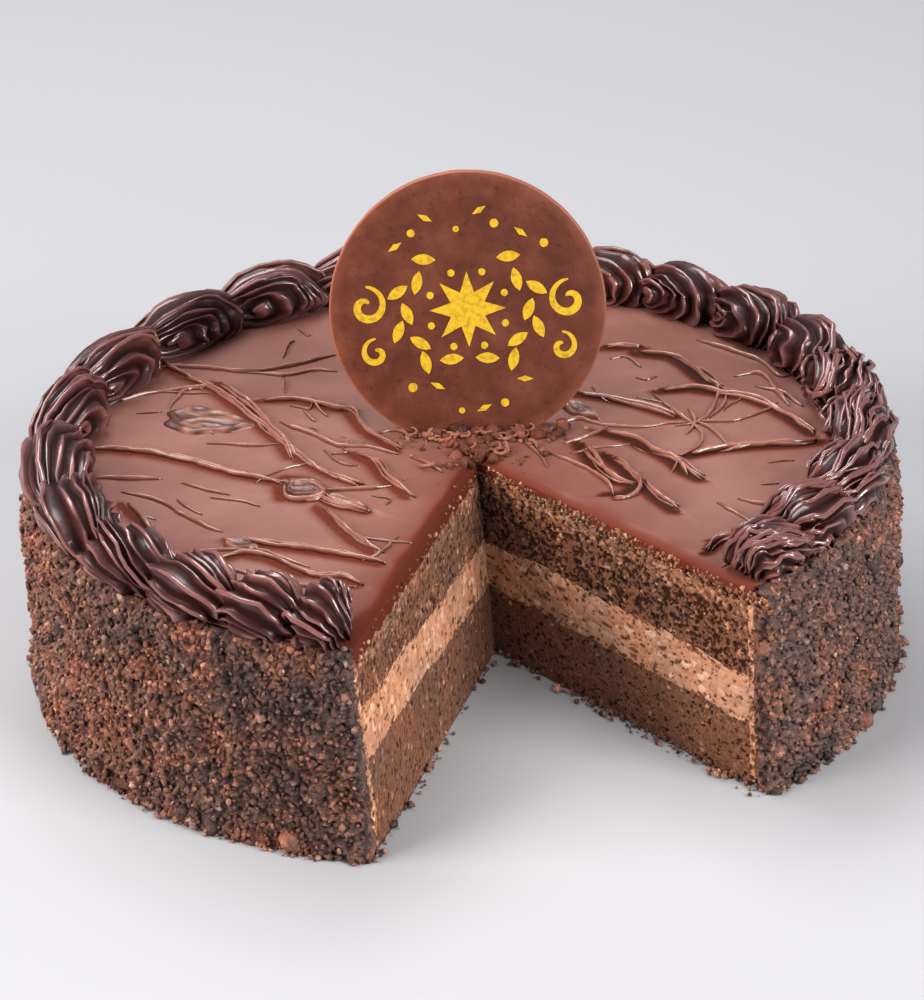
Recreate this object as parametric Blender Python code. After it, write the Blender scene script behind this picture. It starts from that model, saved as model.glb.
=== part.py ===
"""Round chocolate layer cake with one slice cut out and a chocolate disc stood in its top.

The cake stands on z = 0 with its axis on the Z axis. The missing slice opens towards -Y.
"""
import math

import bmesh
import bpy
from mathutils import Matrix, Vector, noise

MM = 0.001
CAKE_RADIUS = 100 * MM
TOUCH_GAP = 0.3 * MM

# The knife's two cuts meet just off the middle, and the opening is a sixth of the cake.
CUT_TIP = Vector((3.7 * MM, -8.7 * MM))
CUT_LEFT = math.radians(-30.7)
CUT_RIGHT = math.radians(26.7)
FAN_STEPS = 60

# Layers, from the board up. The filling was spread thicker under the left side.
SPONGE_RADIUS = 93.3 * MM
FILLING_LOW = 17.0 * MM
FILLING_THICK = 11.6 * MM
FILLING_TILT_X = -0.078
FILLING_TILT_Y = -0.02
SPONGE_TOP = 44.5 * MM
COAT_RADIUS = 95.8 * MM
COAT_TOP = 46.0 * MM
COAT_FOOT = 1.0 * MM
GANACHE_TOP = 49.1 * MM

# Cake crumbs pressed into the side: clumps about as big as a pea, more of them at the foot.
CRUMB_COLUMNS = 144
CRUMB_ROWS = 10
CRUMB_INNER = COAT_RADIUS + TOUCH_GAP
CRUMB_RELIEF = 1.7 * MM
CLUMP_SIZE = 7 * MM
CRUMB_FOOT_FLARE = 1.1 * MM
CRUMB_SHOULDER = 2.0 * MM

# Thick drizzle over the ganache: start x, y and end x, y in mm, and how far the middle bows.
DRIZZLE = (
    (-56, 57, -24, -13, 4), (-53, 59, -17, 48, -3), (-38, 70, -15, 71, 2), (-40, 41, -19, 27, -2),
    (-60, 37, -46, 20, 9), (-63, 27, -46, 22, -7), (-77, 20, -43, -8, 3), (-77, 5, -67, 4, 1),
    (-79, -3, -59, -27, 3), (-60, -30, -27, -50, -2), (-77, -8, -68, -36, 3), (-63, -41, -39, -58, -5),
    (-30, 6, -14, -23, 3), (-36, -22, -29, -47, -2), (-42, -60, -41, -69, 2), (-33, 54, -19, 55, 2),
    (-41, -11, -28, -28, 2), (-55, -36, -42, -52, 3), (46, 44, 66, 12, 7), (53, 36, 49, -17, 13),
    (69, 37, 78, 14, 3), (54, 14, 77, -17, 4), (35, 16, 54, -8, 3), (30, -9, 48, -33, 6),
    (50, -21, 75, -26, -1), (28, -12, 37, -46, 6), (57, 3, 57, -21, 4), (50, -45, 62, -49, 1),
    (41, -62, 51, -60, 2), (33, -24, 29, -33, 4), (47, 56, 61, 41, 2), (66, 2, 59, -8, -3),
)
STRAND_WIDTH = 2.3 * MM
STRAND_RISE = 1.3 * MM
STRAND_SUNK = 0.9 * MM
STRAND_STEP = 9 * MM
STRAND_SIDES = 5
TIP_LUMPS = ((-6, -2, 3.2), (-11, 2, 2.4), (15, 0, 2.6), (11, -5, 3.0), (-4, 4, 2.8), (22, 3, 2.3),
             (-15, 7, 2.2), (26, -6, 2.1), (2, -3, 2.0))

# Piped border, from the right of the cut round to its left: the middle of each shell in degrees.
SHELL_AZIMUTHS = (300.8, 311.1, 324.8, 341.7, 356.4, 370.3, 384.0, 398.6, 411.0, 424.5, 438.0,
                  452.0, 465.6, 482.0, 501.3, 516.8, 533.2, 551.6, 566.3, 579.1, 590.8, 599.2)
BORDER_START = 297.3
BORDER_END = 602.2
SHELL_LINE = 91.2 * MM
SHELL_HALF_WIDTH = 8.7 * MM
SHELL_RISE = 8.6 * MM
SHELL_WAIST = 3.6 * MM
SHELL_RIDGES = 7
SHELL_RINGS = 10
SHELL_GROOVE = 0.24
SHELL_SWIRL = 0.30
SHELL_FULLNESS = 0.62
SHELL_HEAD = Vector((-0.38, -0.83, 0.41)).normalized()

# Chocolate disc, leaning back and turned a little to one side.
DISC_RADIUS = 31.8 * MM
DISC_THICK = 3.4 * MM
DISC_BURIED = 4.1 * MM
DISC_FOOT = Vector((5.35 * MM, 7.9 * MM))
DISC_LEAN = math.radians(-15)
DISC_TURN = math.radians(-13.1)
DISC_STEPS = 56
DISC_EDGE = 0.5 * MM

COLOURS = {
    "sponge": ((0.060, 0.030, 0.018), 0.9),
    "mousse": ((0.270, 0.130, 0.065), 0.75),
    "crumbs": ((0.045, 0.026, 0.020), 0.9),
    "ganache": ((0.230, 0.095, 0.065), 0.35),
    "border": ((0.035, 0.014, 0.012), 0.18),
    "disc": ((0.180, 0.055, 0.035), 0.4),
}


def clear_scene():
    for item in list(bpy.data.objects):
        bpy.data.objects.remove(item, do_unlink=True)


def material(name):
    colour, rough = COLOURS[name]
    made = bpy.data.materials.get(name)
    if made:
        return made
    made = bpy.data.materials.new(name)
    made.use_nodes = True
    shader = made.node_tree.nodes["Principled BSDF"]
    shader.inputs["Base Color"].default_value = (*colour, 1.0)
    shader.inputs["Roughness"].default_value = rough
    shader.inputs["Metallic"].default_value = 0.0
    return made


def solid(name, colour, points, faces, collection=None):
    """A closed body from its corner points and faces, with its faces pointing out."""
    mesh = bpy.data.meshes.new(name)
    mesh.from_pydata([tuple(point) for point in points], [], faces)
    work = bmesh.new()
    work.from_mesh(mesh)
    bmesh.ops.recalc_face_normals(work, faces=work.faces)
    work.to_mesh(mesh)
    work.free()
    made = bpy.data.objects.new(name, mesh)
    mesh.materials.append(material(colour))
    (collection or bpy.context.scene.collection).objects.link(made)
    return made


def smooth(item, angle=50):
    item.data.shade_smooth()
    item.data.set_sharp_from_angle(angle=math.radians(angle))


def apply_modifiers(item):
    graph = bpy.context.evaluated_depsgraph_get()
    done = bpy.data.meshes.new_from_object(item.evaluated_get(graph))
    item.modifiers.clear()
    item.data = done


def cut_point(radius, side):
    """Where a cut line from the tip meets the circle of this radius."""
    way = Vector((math.sin(side), -math.cos(side)))
    along = -CUT_TIP.dot(way) + math.sqrt(CUT_TIP.dot(way) ** 2 - CUT_TIP.length_squared + radius ** 2)
    return CUT_TIP + way * along


def fan_azimuth(radius, part):
    """Azimuth of a station round the cake, from the right cut (0) to the left cut (1)."""
    right = cut_point(radius, CUT_RIGHT)
    left = cut_point(radius, CUT_LEFT)
    start = math.atan2(right.y, right.x)
    end = math.atan2(left.y, left.x) + 2 * math.pi
    return start + (end - start) * part


def arc(radius, steps=FAN_STEPS):
    turns = [fan_azimuth(radius, step / steps) for step in range(steps + 1)]
    return [Vector((radius * math.cos(turn), radius * math.sin(turn))) for turn in turns]


def layer(name, colour, radius, low, high):
    """A round layer without its slice, between two heights that may slope."""
    outline = [CUT_TIP] + arc(radius)
    count = len(outline)
    points = [(spot.x, spot.y, low(spot)) for spot in outline]
    points += [(spot.x, spot.y, high(spot)) for spot in outline]
    faces = [(step, (step + 1) % count, count + (step + 1) % count, count + step) for step in range(count)]
    for step in range(1, count - 1):
        faces.append((0, step + 1, step))
        faces.append((count, count + step, count + step + 1))
    return solid(name, colour, points, faces)


def filling_floor(spot):
    return FILLING_LOW + FILLING_TILT_X * spot.x + FILLING_TILT_Y * spot.y


def filling_roof(spot):
    return filling_floor(spot) + FILLING_THICK


def make_layers():
    layer("sponge_bottom", "sponge", SPONGE_RADIUS, lambda spot: 0.0,
          lambda spot: filling_floor(spot) - TOUCH_GAP)
    layer("mousse_filling", "mousse", SPONGE_RADIUS, filling_floor, filling_roof)
    layer("sponge_top", "sponge", SPONGE_RADIUS, lambda spot: filling_roof(spot) + TOUCH_GAP,
          lambda spot: SPONGE_TOP)


def make_mousse_coat():
    """Thin mousse over the top and side of the sponge, like an upturned pan."""
    inner = arc(SPONGE_RADIUS + TOUCH_GAP)
    outer = arc(COAT_RADIUS)
    count = len(outer)
    under = SPONGE_TOP + TOUCH_GAP
    points = [(spot.x, spot.y, COAT_FOOT) for spot in outer]
    points += [(spot.x, spot.y, COAT_TOP) for spot in outer]
    points += [(spot.x, spot.y, COAT_FOOT) for spot in inner]
    points += [(spot.x, spot.y, under) for spot in inner]
    points += [(CUT_TIP.x, CUT_TIP.y, COAT_TOP), (CUT_TIP.x, CUT_TIP.y, under)]
    tip_top = 4 * count
    tip_under = tip_top + 1
    faces = []
    for step in range(count - 1):
        after = step + 1
        faces.append((step, after, count + after, count + step))
        faces.append((2 * count + step, 3 * count + step, 3 * count + after, 2 * count + after))
        faces.append((step, 2 * count + step, 2 * count + after, after))
        faces.append((tip_top, count + step, count + after))
        faces.append((tip_under, 3 * count + after, 3 * count + step))
    for end in (0, count - 1):
        faces.append((tip_under, tip_top, count + end, end, 2 * count + end, 3 * count + end))
    return solid("mousse_coat", "mousse", points, faces)


def crumb_radius(part, height):
    """Radius of the crumbed side, lumpy with clumps and a little wider at the foot."""
    turn = fan_azimuth(CAKE_RADIUS, part)
    spot = Vector((math.cos(turn), math.sin(turn), 0)) * CAKE_RADIUS
    spot.z = height
    clump = noise.noise(spot / CLUMP_SIZE) + 0.5 * noise.noise(spot * 2.3 / CLUMP_SIZE)
    foot = CRUMB_FOOT_FLARE * max(0.0, 1 - height / (12 * MM))
    shoulder = CRUMB_SHOULDER * max(0.0, 1 - (GANACHE_TOP - height) / (5 * MM)) ** 2
    return CAKE_RADIUS + CRUMB_RELIEF * clump + foot - shoulder


def make_crumb_coat():
    """Ring of crumbs round the side, open where the slice was."""
    points = []
    for column in range(CRUMB_COLUMNS + 1):
        for row in range(CRUMB_ROWS + 1):
            height = GANACHE_TOP * row / CRUMB_ROWS
            radius = crumb_radius(column / CRUMB_COLUMNS, height)
            turn = fan_azimuth(radius, column / CRUMB_COLUMNS)
            points.append((radius * math.cos(turn), radius * math.sin(turn), height))
        turn = fan_azimuth(CRUMB_INNER, column / CRUMB_COLUMNS)
        for height in (GANACHE_TOP, 0.0):
            points.append((CRUMB_INNER * math.cos(turn), CRUMB_INNER * math.sin(turn), height))
    loop = CRUMB_ROWS + 3
    faces = []
    for column in range(CRUMB_COLUMNS):
        for step in range(loop):
            after = (step + 1) % loop
            here = column * loop
            there = here + loop
            faces.append((here + step, there + step, there + after, here + after))
    for column in (0, CRUMB_COLUMNS):
        faces.append(tuple(column * loop + step for step in range(loop)))
    made = solid("crumb_coat", "crumbs", points, faces)
    smooth(made)
    return made


def strand(name, start, end, bow, collection):
    """One raised line of drizzle: a half-sunk bead along a bowed line, pinched at both ends."""
    line = end - start
    side = Vector((-line.y, line.x)).normalized()
    steps = max(3, round(line.length / STRAND_STEP))
    points = []
    for step in range(steps + 1):
        part = step / steps
        spot = start + line * part + side * bow * math.sin(math.pi * part)
        slope = line + side * bow * math.pi * math.cos(math.pi * part)
        across = Vector((-slope.y, slope.x)).normalized()
        swell = 0.55 + 0.45 * math.sin(math.pi * part)
        for corner in range(STRAND_SIDES):
            turn = 2 * math.pi * (corner + 0.25) / STRAND_SIDES
            wide = math.cos(turn) * STRAND_WIDTH / 2 * swell
            high = math.sin(turn) * STRAND_RISE * swell
            high = max(high, -STRAND_SUNK)
            points.append((spot.x + across.x * wide, spot.y + across.y * wide, GANACHE_TOP + high))
    faces = []
    for step in range(steps):
        for corner in range(STRAND_SIDES):
            after = (corner + 1) % STRAND_SIDES
            here = step * STRAND_SIDES
            there = here + STRAND_SIDES
            faces.append((here + corner, here + after, there + after, there + corner))
    faces.append(tuple(range(STRAND_SIDES)))
    faces.append(tuple(range(steps * STRAND_SIDES, (steps + 1) * STRAND_SIDES)))
    return solid(name, "ganache", points, faces, collection)


def lump(name, x, y, radius, collection):
    """A low lump of crumbs and ganache by the foot of the disc."""
    made = solid(name, "ganache", [], [], collection)
    work = bmesh.new()
    place = Matrix.Translation((x * MM, y * MM, GANACHE_TOP - 0.2 * MM)) @ Matrix.Diagonal((1, 0.8, 0.5, 1))
    bmesh.ops.create_icosphere(work, subdivisions=1, radius=radius * MM, matrix=place)
    work.to_mesh(made.data)
    work.free()
    return made


def disc_matrix(extra_rise=0.0):
    """Frame of the disc: its X across, its Z along its thickness, its Y up the disc."""
    lean = Matrix.Rotation(DISC_TURN, 4, "Z") @ Matrix.Rotation(math.radians(90) + DISC_LEAN, 4, "X")
    up = (lean.to_3x3() @ Vector((0, 1, 0))).normalized()
    middle = GANACHE_TOP - DISC_BURIED + DISC_RADIUS * up.z + DISC_THICK / 2 * abs(math.sin(DISC_LEAN))
    shift = up * ((middle - GANACHE_TOP) / up.z)
    centre = Vector((DISC_FOOT.x, DISC_FOOT.y, GANACHE_TOP)) + shift + up * extra_rise
    return Matrix.Translation(centre) @ lean


def make_disc():
    """Moulded chocolate disc with a small bevel on both rims."""
    place = disc_matrix()
    half = DISC_THICK / 2
    rims = ((DISC_RADIUS - DISC_EDGE, -half), (DISC_RADIUS, -half + DISC_EDGE),
            (DISC_RADIUS, half - DISC_EDGE), (DISC_RADIUS - DISC_EDGE, half))
    points = []
    for radius, depth in rims:
        for step in range(DISC_STEPS):
            turn = 2 * math.pi * step / DISC_STEPS
            points.append(place @ Vector((radius * math.cos(turn), radius * math.sin(turn), depth)))
    faces = [tuple(range(DISC_STEPS)), tuple(range(3 * DISC_STEPS, 4 * DISC_STEPS))]
    for rim in range(3):
        for step in range(DISC_STEPS):
            after = (step + 1) % DISC_STEPS
            here = rim * DISC_STEPS
            there = here + DISC_STEPS
            faces.append((here + step, here + after, there + after, there + step))
    made = solid("chocolate_disc", "disc", points, faces)
    smooth(made, 30)
    return made


def slot_cutter():
    """Block that opens a slot for the buried part of the disc."""
    sunk = DISC_BURIED + STRAND_RISE
    half_width = math.sqrt(DISC_RADIUS ** 2 - (DISC_RADIUS - sunk) ** 2) + 2 * TOUCH_GAP
    half_thick = DISC_THICK / 2 + TOUCH_GAP
    low = -DISC_RADIUS - TOUCH_GAP / 2
    high = low + 3 * DISC_BURIED
    place = disc_matrix()
    points = [place @ Vector((x, y, z)) for x in (-half_width, half_width)
              for y in (low, high) for z in (-half_thick, half_thick)]
    faces = [(0, 1, 3, 2), (4, 6, 7, 5), (0, 4, 5, 1), (2, 3, 7, 6), (0, 2, 6, 4), (1, 5, 7, 3)]
    made = solid("slot_cutter", "disc", points, faces)
    made.hide_render = True
    made.display_type = "WIRE"
    return made


def cut_slot(item, cutter):
    cut = item.modifiers.new("slot", "BOOLEAN")
    cut.operation = "DIFFERENCE"
    cut.solver = "EXACT"
    cut.object = cutter
    apply_modifiers(item)


def make_ganache():
    """Ganache top with its drizzle and lumps joined to it."""
    made = layer("ganache_top", "ganache", COAT_RADIUS, lambda spot: COAT_TOP + TOUCH_GAP,
                 lambda spot: GANACHE_TOP)
    group = bpy.data.collections.new("drizzle")
    bpy.context.scene.collection.children.link(group)
    for number, (x0, y0, x1, y1, bow) in enumerate(DRIZZLE):
        start = Vector((x0, y0)) * MM
        end = Vector((x1, y1)) * MM
        strand("strand_%02d" % number, start, end, bow * MM, group)
    for number, (x, y, radius) in enumerate(TIP_LUMPS):
        lump("lump_%02d" % number, x, y, radius, group)
    join = made.modifiers.new("drizzle", "BOOLEAN")
    join.operation = "UNION"
    join.operand_type = "COLLECTION"
    join.collection = group
    join.solver = "EXACT"
    apply_modifiers(made)
    for item in list(group.objects):
        bpy.data.objects.remove(item, do_unlink=True)
    bpy.data.collections.remove(group)
    return made


def shell_form(way, head_reach, tail_reach):
    """Turn a point of a unit ball into a piped shell: round head, narrow tail, flat foot."""
    reach = tail_reach if way.x > 0 else head_reach
    tail = max(0.0, way.x)
    along = reach * math.copysign(abs(way.x) ** SHELL_FULLNESS, way.x)
    outward = SHELL_HALF_WIDTH * way.y * (1 - 0.35 * tail ** 2) + 2.2 * MM * tail ** 2
    if way.z > 0:
        rise = SHELL_WAIST + SHELL_RISE * way.z * (1 - 0.45 * tail ** 1.5)
    else:
        rise = SHELL_WAIST * max(0.0, 1 + 2 * way.z)
    return Vector((along, outward, rise))


def make_shell(number, start, middle, end):
    """One shell of the border: ridges swirl out of its head and run together at its tail."""
    first = SHELL_HEAD.cross(Vector((0, 0, 1))).normalized()
    second = SHELL_HEAD.cross(first)
    gap = TOUCH_GAP / 2 / (SHELL_LINE - SHELL_HALF_WIDTH)
    head_reach = (middle - start - gap) * SHELL_LINE
    tail_reach = (end - middle - gap) * SHELL_LINE
    around = 2 * SHELL_RIDGES
    foot = GANACHE_TOP + TOUCH_GAP
    points = []

    def place(polar, turn, scale):
        ring = math.sin(polar) * scale
        way = SHELL_HEAD * math.cos(polar) + (first * math.cos(turn) + second * math.sin(turn)) * ring
        spot = shell_form(way, head_reach, tail_reach)
        azimuth = middle + spot.x / SHELL_LINE
        radius = SHELL_LINE + spot.y
        points.append((radius * math.cos(azimuth), radius * math.sin(azimuth), foot + spot.z))

    place(0.0, 0.0, 1.0)
    for ring in range(1, SHELL_RINGS):
        polar = math.pi * ring / SHELL_RINGS
        swirl = 2 * math.pi * SHELL_SWIRL * (1 - ring / SHELL_RINGS) ** 2
        for step in range(around):
            scale = 1 - SHELL_GROOVE * (step % 2) * math.sin(polar) ** 0.5
            place(polar, swirl + 2 * math.pi * step / around, scale)
    place(math.pi, 0.0, 1.0)
    last = len(points) - 1
    faces = []
    for step in range(around):
        after = (step + 1) % around
        faces.append((0, 1 + step, 1 + after))
        faces.append((last, last - around + after, last - around + step))
        for ring in range(SHELL_RINGS - 2):
            here = 1 + ring * around
            there = here + around
            faces.append((here + step, there + step, there + after))
            faces.append((here + step, there + after, here + after))
    made = solid("border_shell_%02d" % number, "border", points, faces)
    smooth(made, 30)
    return made


def make_border():
    middles = [math.radians(value) for value in SHELL_AZIMUTHS]
    edges = [(before + after) / 2 for before, after in zip(middles, middles[1:])]
    edges = [math.radians(BORDER_START)] + edges + [math.radians(BORDER_END)]
    for number, middle in enumerate(middles):
        make_shell(number + 1, edges[number], middle, edges[number + 1])


clear_scene()
make_layers()
coat = make_mousse_coat()
make_crumb_coat()
ganache = make_ganache()
cutter = slot_cutter()
cut_slot(ganache, cutter)
cut_slot(coat, cutter)
make_disc()
make_border()
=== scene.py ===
import math

import bmesh
import bpy
import numpy as np
from mathutils import Matrix, Vector, noise


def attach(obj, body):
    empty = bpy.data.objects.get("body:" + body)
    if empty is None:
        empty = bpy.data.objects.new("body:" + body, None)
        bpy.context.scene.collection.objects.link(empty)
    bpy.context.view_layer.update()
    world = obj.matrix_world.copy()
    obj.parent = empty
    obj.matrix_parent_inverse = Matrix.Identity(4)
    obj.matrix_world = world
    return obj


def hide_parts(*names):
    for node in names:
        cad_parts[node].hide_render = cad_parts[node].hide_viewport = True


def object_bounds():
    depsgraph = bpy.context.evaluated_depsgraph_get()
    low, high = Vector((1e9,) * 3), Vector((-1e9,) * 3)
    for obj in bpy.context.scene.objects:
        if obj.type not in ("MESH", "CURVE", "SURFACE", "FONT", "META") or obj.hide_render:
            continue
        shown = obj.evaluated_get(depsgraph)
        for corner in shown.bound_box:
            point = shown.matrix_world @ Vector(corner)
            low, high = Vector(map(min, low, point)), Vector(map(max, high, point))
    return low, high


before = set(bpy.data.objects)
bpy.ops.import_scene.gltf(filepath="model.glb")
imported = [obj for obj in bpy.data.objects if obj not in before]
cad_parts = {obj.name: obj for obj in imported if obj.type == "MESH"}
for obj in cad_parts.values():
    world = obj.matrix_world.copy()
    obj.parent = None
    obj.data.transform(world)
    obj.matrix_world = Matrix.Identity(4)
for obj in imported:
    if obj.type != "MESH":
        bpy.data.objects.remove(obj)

cad_box = [list(corner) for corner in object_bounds()]


# The two sponge layers are dark chocolate sponge, baked in a round tin, split and stacked on the filling.
# The knife that took the slice out left an open crumb on both cuts, with pores, torn grains and pale flecks.
MM = 0.001
CUT_TIP = np.array((3.7, -8.7)) * MM
CUT_LEFT = math.radians(-30.7)
CUT_RIGHT = math.radians(26.7)
SPONGE_RADIUS = 94.5 * MM
SPONGE_TOP = 45.2 * MM
CAKE_TOP = 49.1 * MM
LEAN_FOOT = 1.4 * MM
LEAN_TOP = -2.1 * MM
CUT_STEP = 0.32 * MM
HIDDEN_STEP = 7 * MM
CUT_REACH = 102 * MM
CUT_HEIGHT = 52 * MM
LAYER_HUB = CUT_TIP + (0, 20 * MM)
ARC_FACE, RIGHT_FACE, LEFT_FACE = 0, 1, 2
RIGHT_ALONG = np.array((math.sin(CUT_RIGHT), -math.cos(CUT_RIGHT)))
LEFT_ALONG = np.array((math.sin(CUT_LEFT), -math.cos(CUT_LEFT)))
RIGHT_AWAY = np.array((-math.cos(CUT_RIGHT), -math.sin(CUT_RIGHT)))
LEFT_AWAY = np.array((math.cos(CUT_LEFT), math.sin(CUT_LEFT)))
CUTS = ((RIGHT_FACE, RIGHT_ALONG, RIGHT_AWAY), (LEFT_FACE, LEFT_ALONG, LEFT_AWAY))
FILLING_THICK = 11.6 * MM
FLECKS_UNDER_TOP = 460
SPONGE_TONES = ((0.0, (0.014, 0.005, 0.003)), (0.25, (0.048, 0.018, 0.010)), (0.5, (0.142, 0.061, 0.034)),
                (0.75, (0.225, 0.103, 0.060)), (1.0, (0.470, 0.265, 0.165)))


def cut_corner(radius, along):
    """Where the cut that runs along this way meets the circle of this radius."""
    lean = CUT_TIP @ along
    return CUT_TIP + along * (math.sqrt(lean ** 2 - CUT_TIP @ CUT_TIP + radius ** 2) - lean)


def arc_ends(radius):
    """Both corners of the cuts, and the angles of the arc from the right one round to the left one."""
    right, left = cut_corner(radius, RIGHT_ALONG), cut_corner(radius, LEFT_ALONG)
    return right, left, math.atan2(right[1], right[0]), math.atan2(left[1], left[0]) + 2 * math.pi


def walk_round(radius, arc_step=HIDDEN_STEP):
    """A layer's outline, anticlockwise from the tip: places, ways out, faces and reaches from the tip."""
    right, left, start, end = arc_ends(radius)
    steps = round(np.linalg.norm(right - CUT_TIP) / CUT_STEP)
    share = np.arange(steps)[:, None] / steps
    turns = np.linspace(start, end, round((end - start) * radius / arc_step), endpoint=False)
    round_ways = np.column_stack([np.cos(turns), np.sin(turns)])
    places = np.vstack([CUT_TIP + (right - CUT_TIP) * share,
                        round_ways * radius,
                        left + (CUT_TIP - left) * share])
    ways = np.vstack([np.tile(RIGHT_AWAY, (steps, 1)), round_ways, np.tile(LEFT_AWAY, (steps, 1))])
    face = np.repeat((RIGHT_FACE, ARC_FACE, LEFT_FACE), (steps, len(turns), steps))
    reach = np.linalg.norm(places - CUT_TIP, axis=1)
    return places, ways, face, reach


def knife_lean(places, height, face, reach):
    """The knife was held aslant on the left cut, so that cut's foot stands out and its top leans back."""
    lean = (LEAN_FOOT + (LEAN_TOP - LEAN_FOOT) * height / CAKE_TOP)[:, None]
    tip_slide = lean * RIGHT_ALONG / (RIGHT_ALONG @ LEFT_AWAY)
    out = np.clip(reach / SPONGE_RADIUS, 0, 1)[:, None]
    left_slide = tip_slide * (1 - out) + lean * LEFT_AWAY * out
    from_corner = np.linalg.norm(places - cut_corner(SPONGE_RADIUS, LEFT_ALONG), axis=1)[:, None]
    side_slide = lean * LEFT_AWAY * np.exp(-(from_corner / (18 * MM)) ** 2)
    return np.where((face == LEFT_FACE)[:, None], left_slide,
                    np.where((face == RIGHT_FACE)[:, None], tip_slide * (1 - out), side_slide))


def ripple(points, size, seed):
    """Smooth noise between about -1 and 1 at each point, with lumps of this size."""
    shift = Vector((seed * 3.1, seed * 1.7, seed * 2.3))
    return np.array([noise.noise(Vector(point) / size + shift) for point in points])


def press(sheet, spot, span, height, shade):
    """Presses one pore (height below 0) or sets one grain (above 0) into a sheet, with its shade."""
    relief, tone = sheet
    row, column = spot
    tall, wide = span
    top, bottom = max(0, int(row - tall)), min(relief.shape[0], int(row + tall) + 2)
    first, last = max(0, int(column - wide)), min(relief.shape[1], int(column + wide) + 2)
    if top >= bottom or first >= last:
        return
    down, along = np.mgrid[top:bottom, first:last]
    inside = 1 - ((down - row) / tall) ** 2 - ((along - column) / wide) ** 2
    dome = height * np.sqrt(np.maximum(inside, 0))
    window = relief[top:bottom, first:last]
    hit = (dome < window) if height < 0 else (dome > window)
    hit &= inside > 0
    window[hit] = dome[hit]
    tone[top:bottom, first:last][hit] = shade


def cut_sheet(seed, pores, pore_size, grains, grain_size, flecks, upright=False, paler=0.0):
    """Relief and tone of a cut face, by height and by reach from the tip, torn along or upright.

    It has so many pores and grains of these sizes, and this share of the grains are pale flecks.
    """
    draw = np.random.default_rng(seed)
    relief = np.zeros((int(CUT_HEIGHT / CUT_STEP), int(CUT_REACH / CUT_STEP)))
    tone = 0.5 + 0.10 * draw.standard_normal(relief.shape)
    rows, columns = relief.shape
    for _ in range(grains):
        size = draw.uniform(*grain_size) / CUT_STEP
        shade = draw.uniform(0.8, 1.0) if draw.random() < flecks else draw.uniform(0.42, 0.72)
        spot = draw.uniform(0, rows), draw.uniform(0, columns)
        span = (size, size * draw.uniform(0.8, 1.9))
        press((relief, tone), spot, span[::-1] if upright else span, 0.30 * size * CUT_STEP, shade)
    for _ in range(pores):
        size = (pore_size[0] + (pore_size[1] - pore_size[0]) * draw.random() ** 2.2) / CUT_STEP
        spot = draw.uniform(0, rows), draw.uniform(0, columns)
        span = (size, size * draw.uniform(0.8, 1.8))
        # Painted shade: each pore also gets a dark tone, for the shade inside it.
        shade = draw.uniform(0.0, 0.22)
        press((relief, tone), spot, span[::-1] if upright else span, -0.95 * size * CUT_STEP, shade)
    return relief, tone + paler


def read_sheet(sheet, reach, height):
    """What a sheet says at each reach from the tip and height."""
    rows, columns = sheet.shape
    row = np.clip((height / CUT_STEP).astype(int), 0, rows - 1)
    column = np.clip((reach / CUT_STEP).astype(int), 0, columns - 1)
    return sheet[row, column]


def knit(name, points, faces, tone=None):
    """A smooth-shaded mesh object, with the tone of each point kept for its material."""
    mesh = bpy.data.meshes.new(name)
    mesh.from_pydata(np.asarray(points).tolist(), [], faces)
    if tone is not None:
        shades = mesh.attributes.new("tone", "FLOAT", "POINT")
        shades.data.foreach_set("value", np.asarray(tone, dtype=float).ravel())
    mesh.shade_smooth()
    made = bpy.data.objects.new(name, mesh)
    bpy.context.scene.collection.objects.link(made)
    return made


def ring_quads(rings, around):
    """Four-cornered faces between rings of points that follow each other."""
    row = np.arange(rings - 1)[:, None] * around
    here = np.arange(around)[None, :]
    after = (here + 1) % around
    walls = np.stack([row + here, row + after, row + around + after, row + around + here], axis=2)
    return walls.reshape(-1, 4)


def fan(hub, loop, flip=False):
    """Three-cornered faces between a hub and a closed loop of points."""
    pairs = zip(loop, np.roll(loop, -1))
    return [(hub, int(after), int(here)) if flip else (hub, int(here), int(after)) for here, after in pairs]


def close_rings(name, rings, tones, lid=None):
    """A closed body from rings of points, bottom one first, with a lid below and above."""
    around = len(rings[0])
    faces = ring_quads(len(rings), around).tolist()
    points = list(rings)
    tones = list(tones)
    top = (len(rings) - 1) * around
    if lid is None:
        hub = len(rings) * around
        for ring in (rings[0], rings[-1]):
            points.append([(*LAYER_HUB, float(np.mean(ring[:, 2])))])
            tones.append([0.5])
        faces += fan(hub, np.arange(around), flip=True)
        faces += fan(hub + 1, top + np.arange(around))
    else:
        faces += [side[::-1] for side in lid]
        faces += [tuple(top + corner for corner in side) for side in lid]
    return knit(name, np.vstack(points), faces, np.concatenate(tones))


def filling_floor(places):
    """The filling lies thicker under the left side, so its floor slopes."""
    return 17.0 * MM - 0.078 * places[:, 0] - 0.020 * places[:, 1]


def uneven(places, seed, broad, fine):
    """How far a spread edge wanders up and down along a cut."""
    spots = np.column_stack([places, np.zeros(len(places))])
    ragged = ripple(spots, 2.2 * MM, seed + 1) + 0.6 * ripple(spots, 0.8 * MM, seed + 2)
    return broad * ripple(spots, 14 * MM, seed) + fine * ragged


def knife_wander(face, reach, height):
    """The knife's own path: the cuts bow a little and show faint drag lines."""
    spots = np.column_stack([reach, height, face * 0.2])
    bow = 0.55 * MM * ripple(spots, 26 * MM, 5) + 0.12 * MM * ripple(spots * (0.3, 1, 1), 1.8 * MM, 6)
    return np.where(face == ARC_FACE, 0.0, bow)


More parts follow.
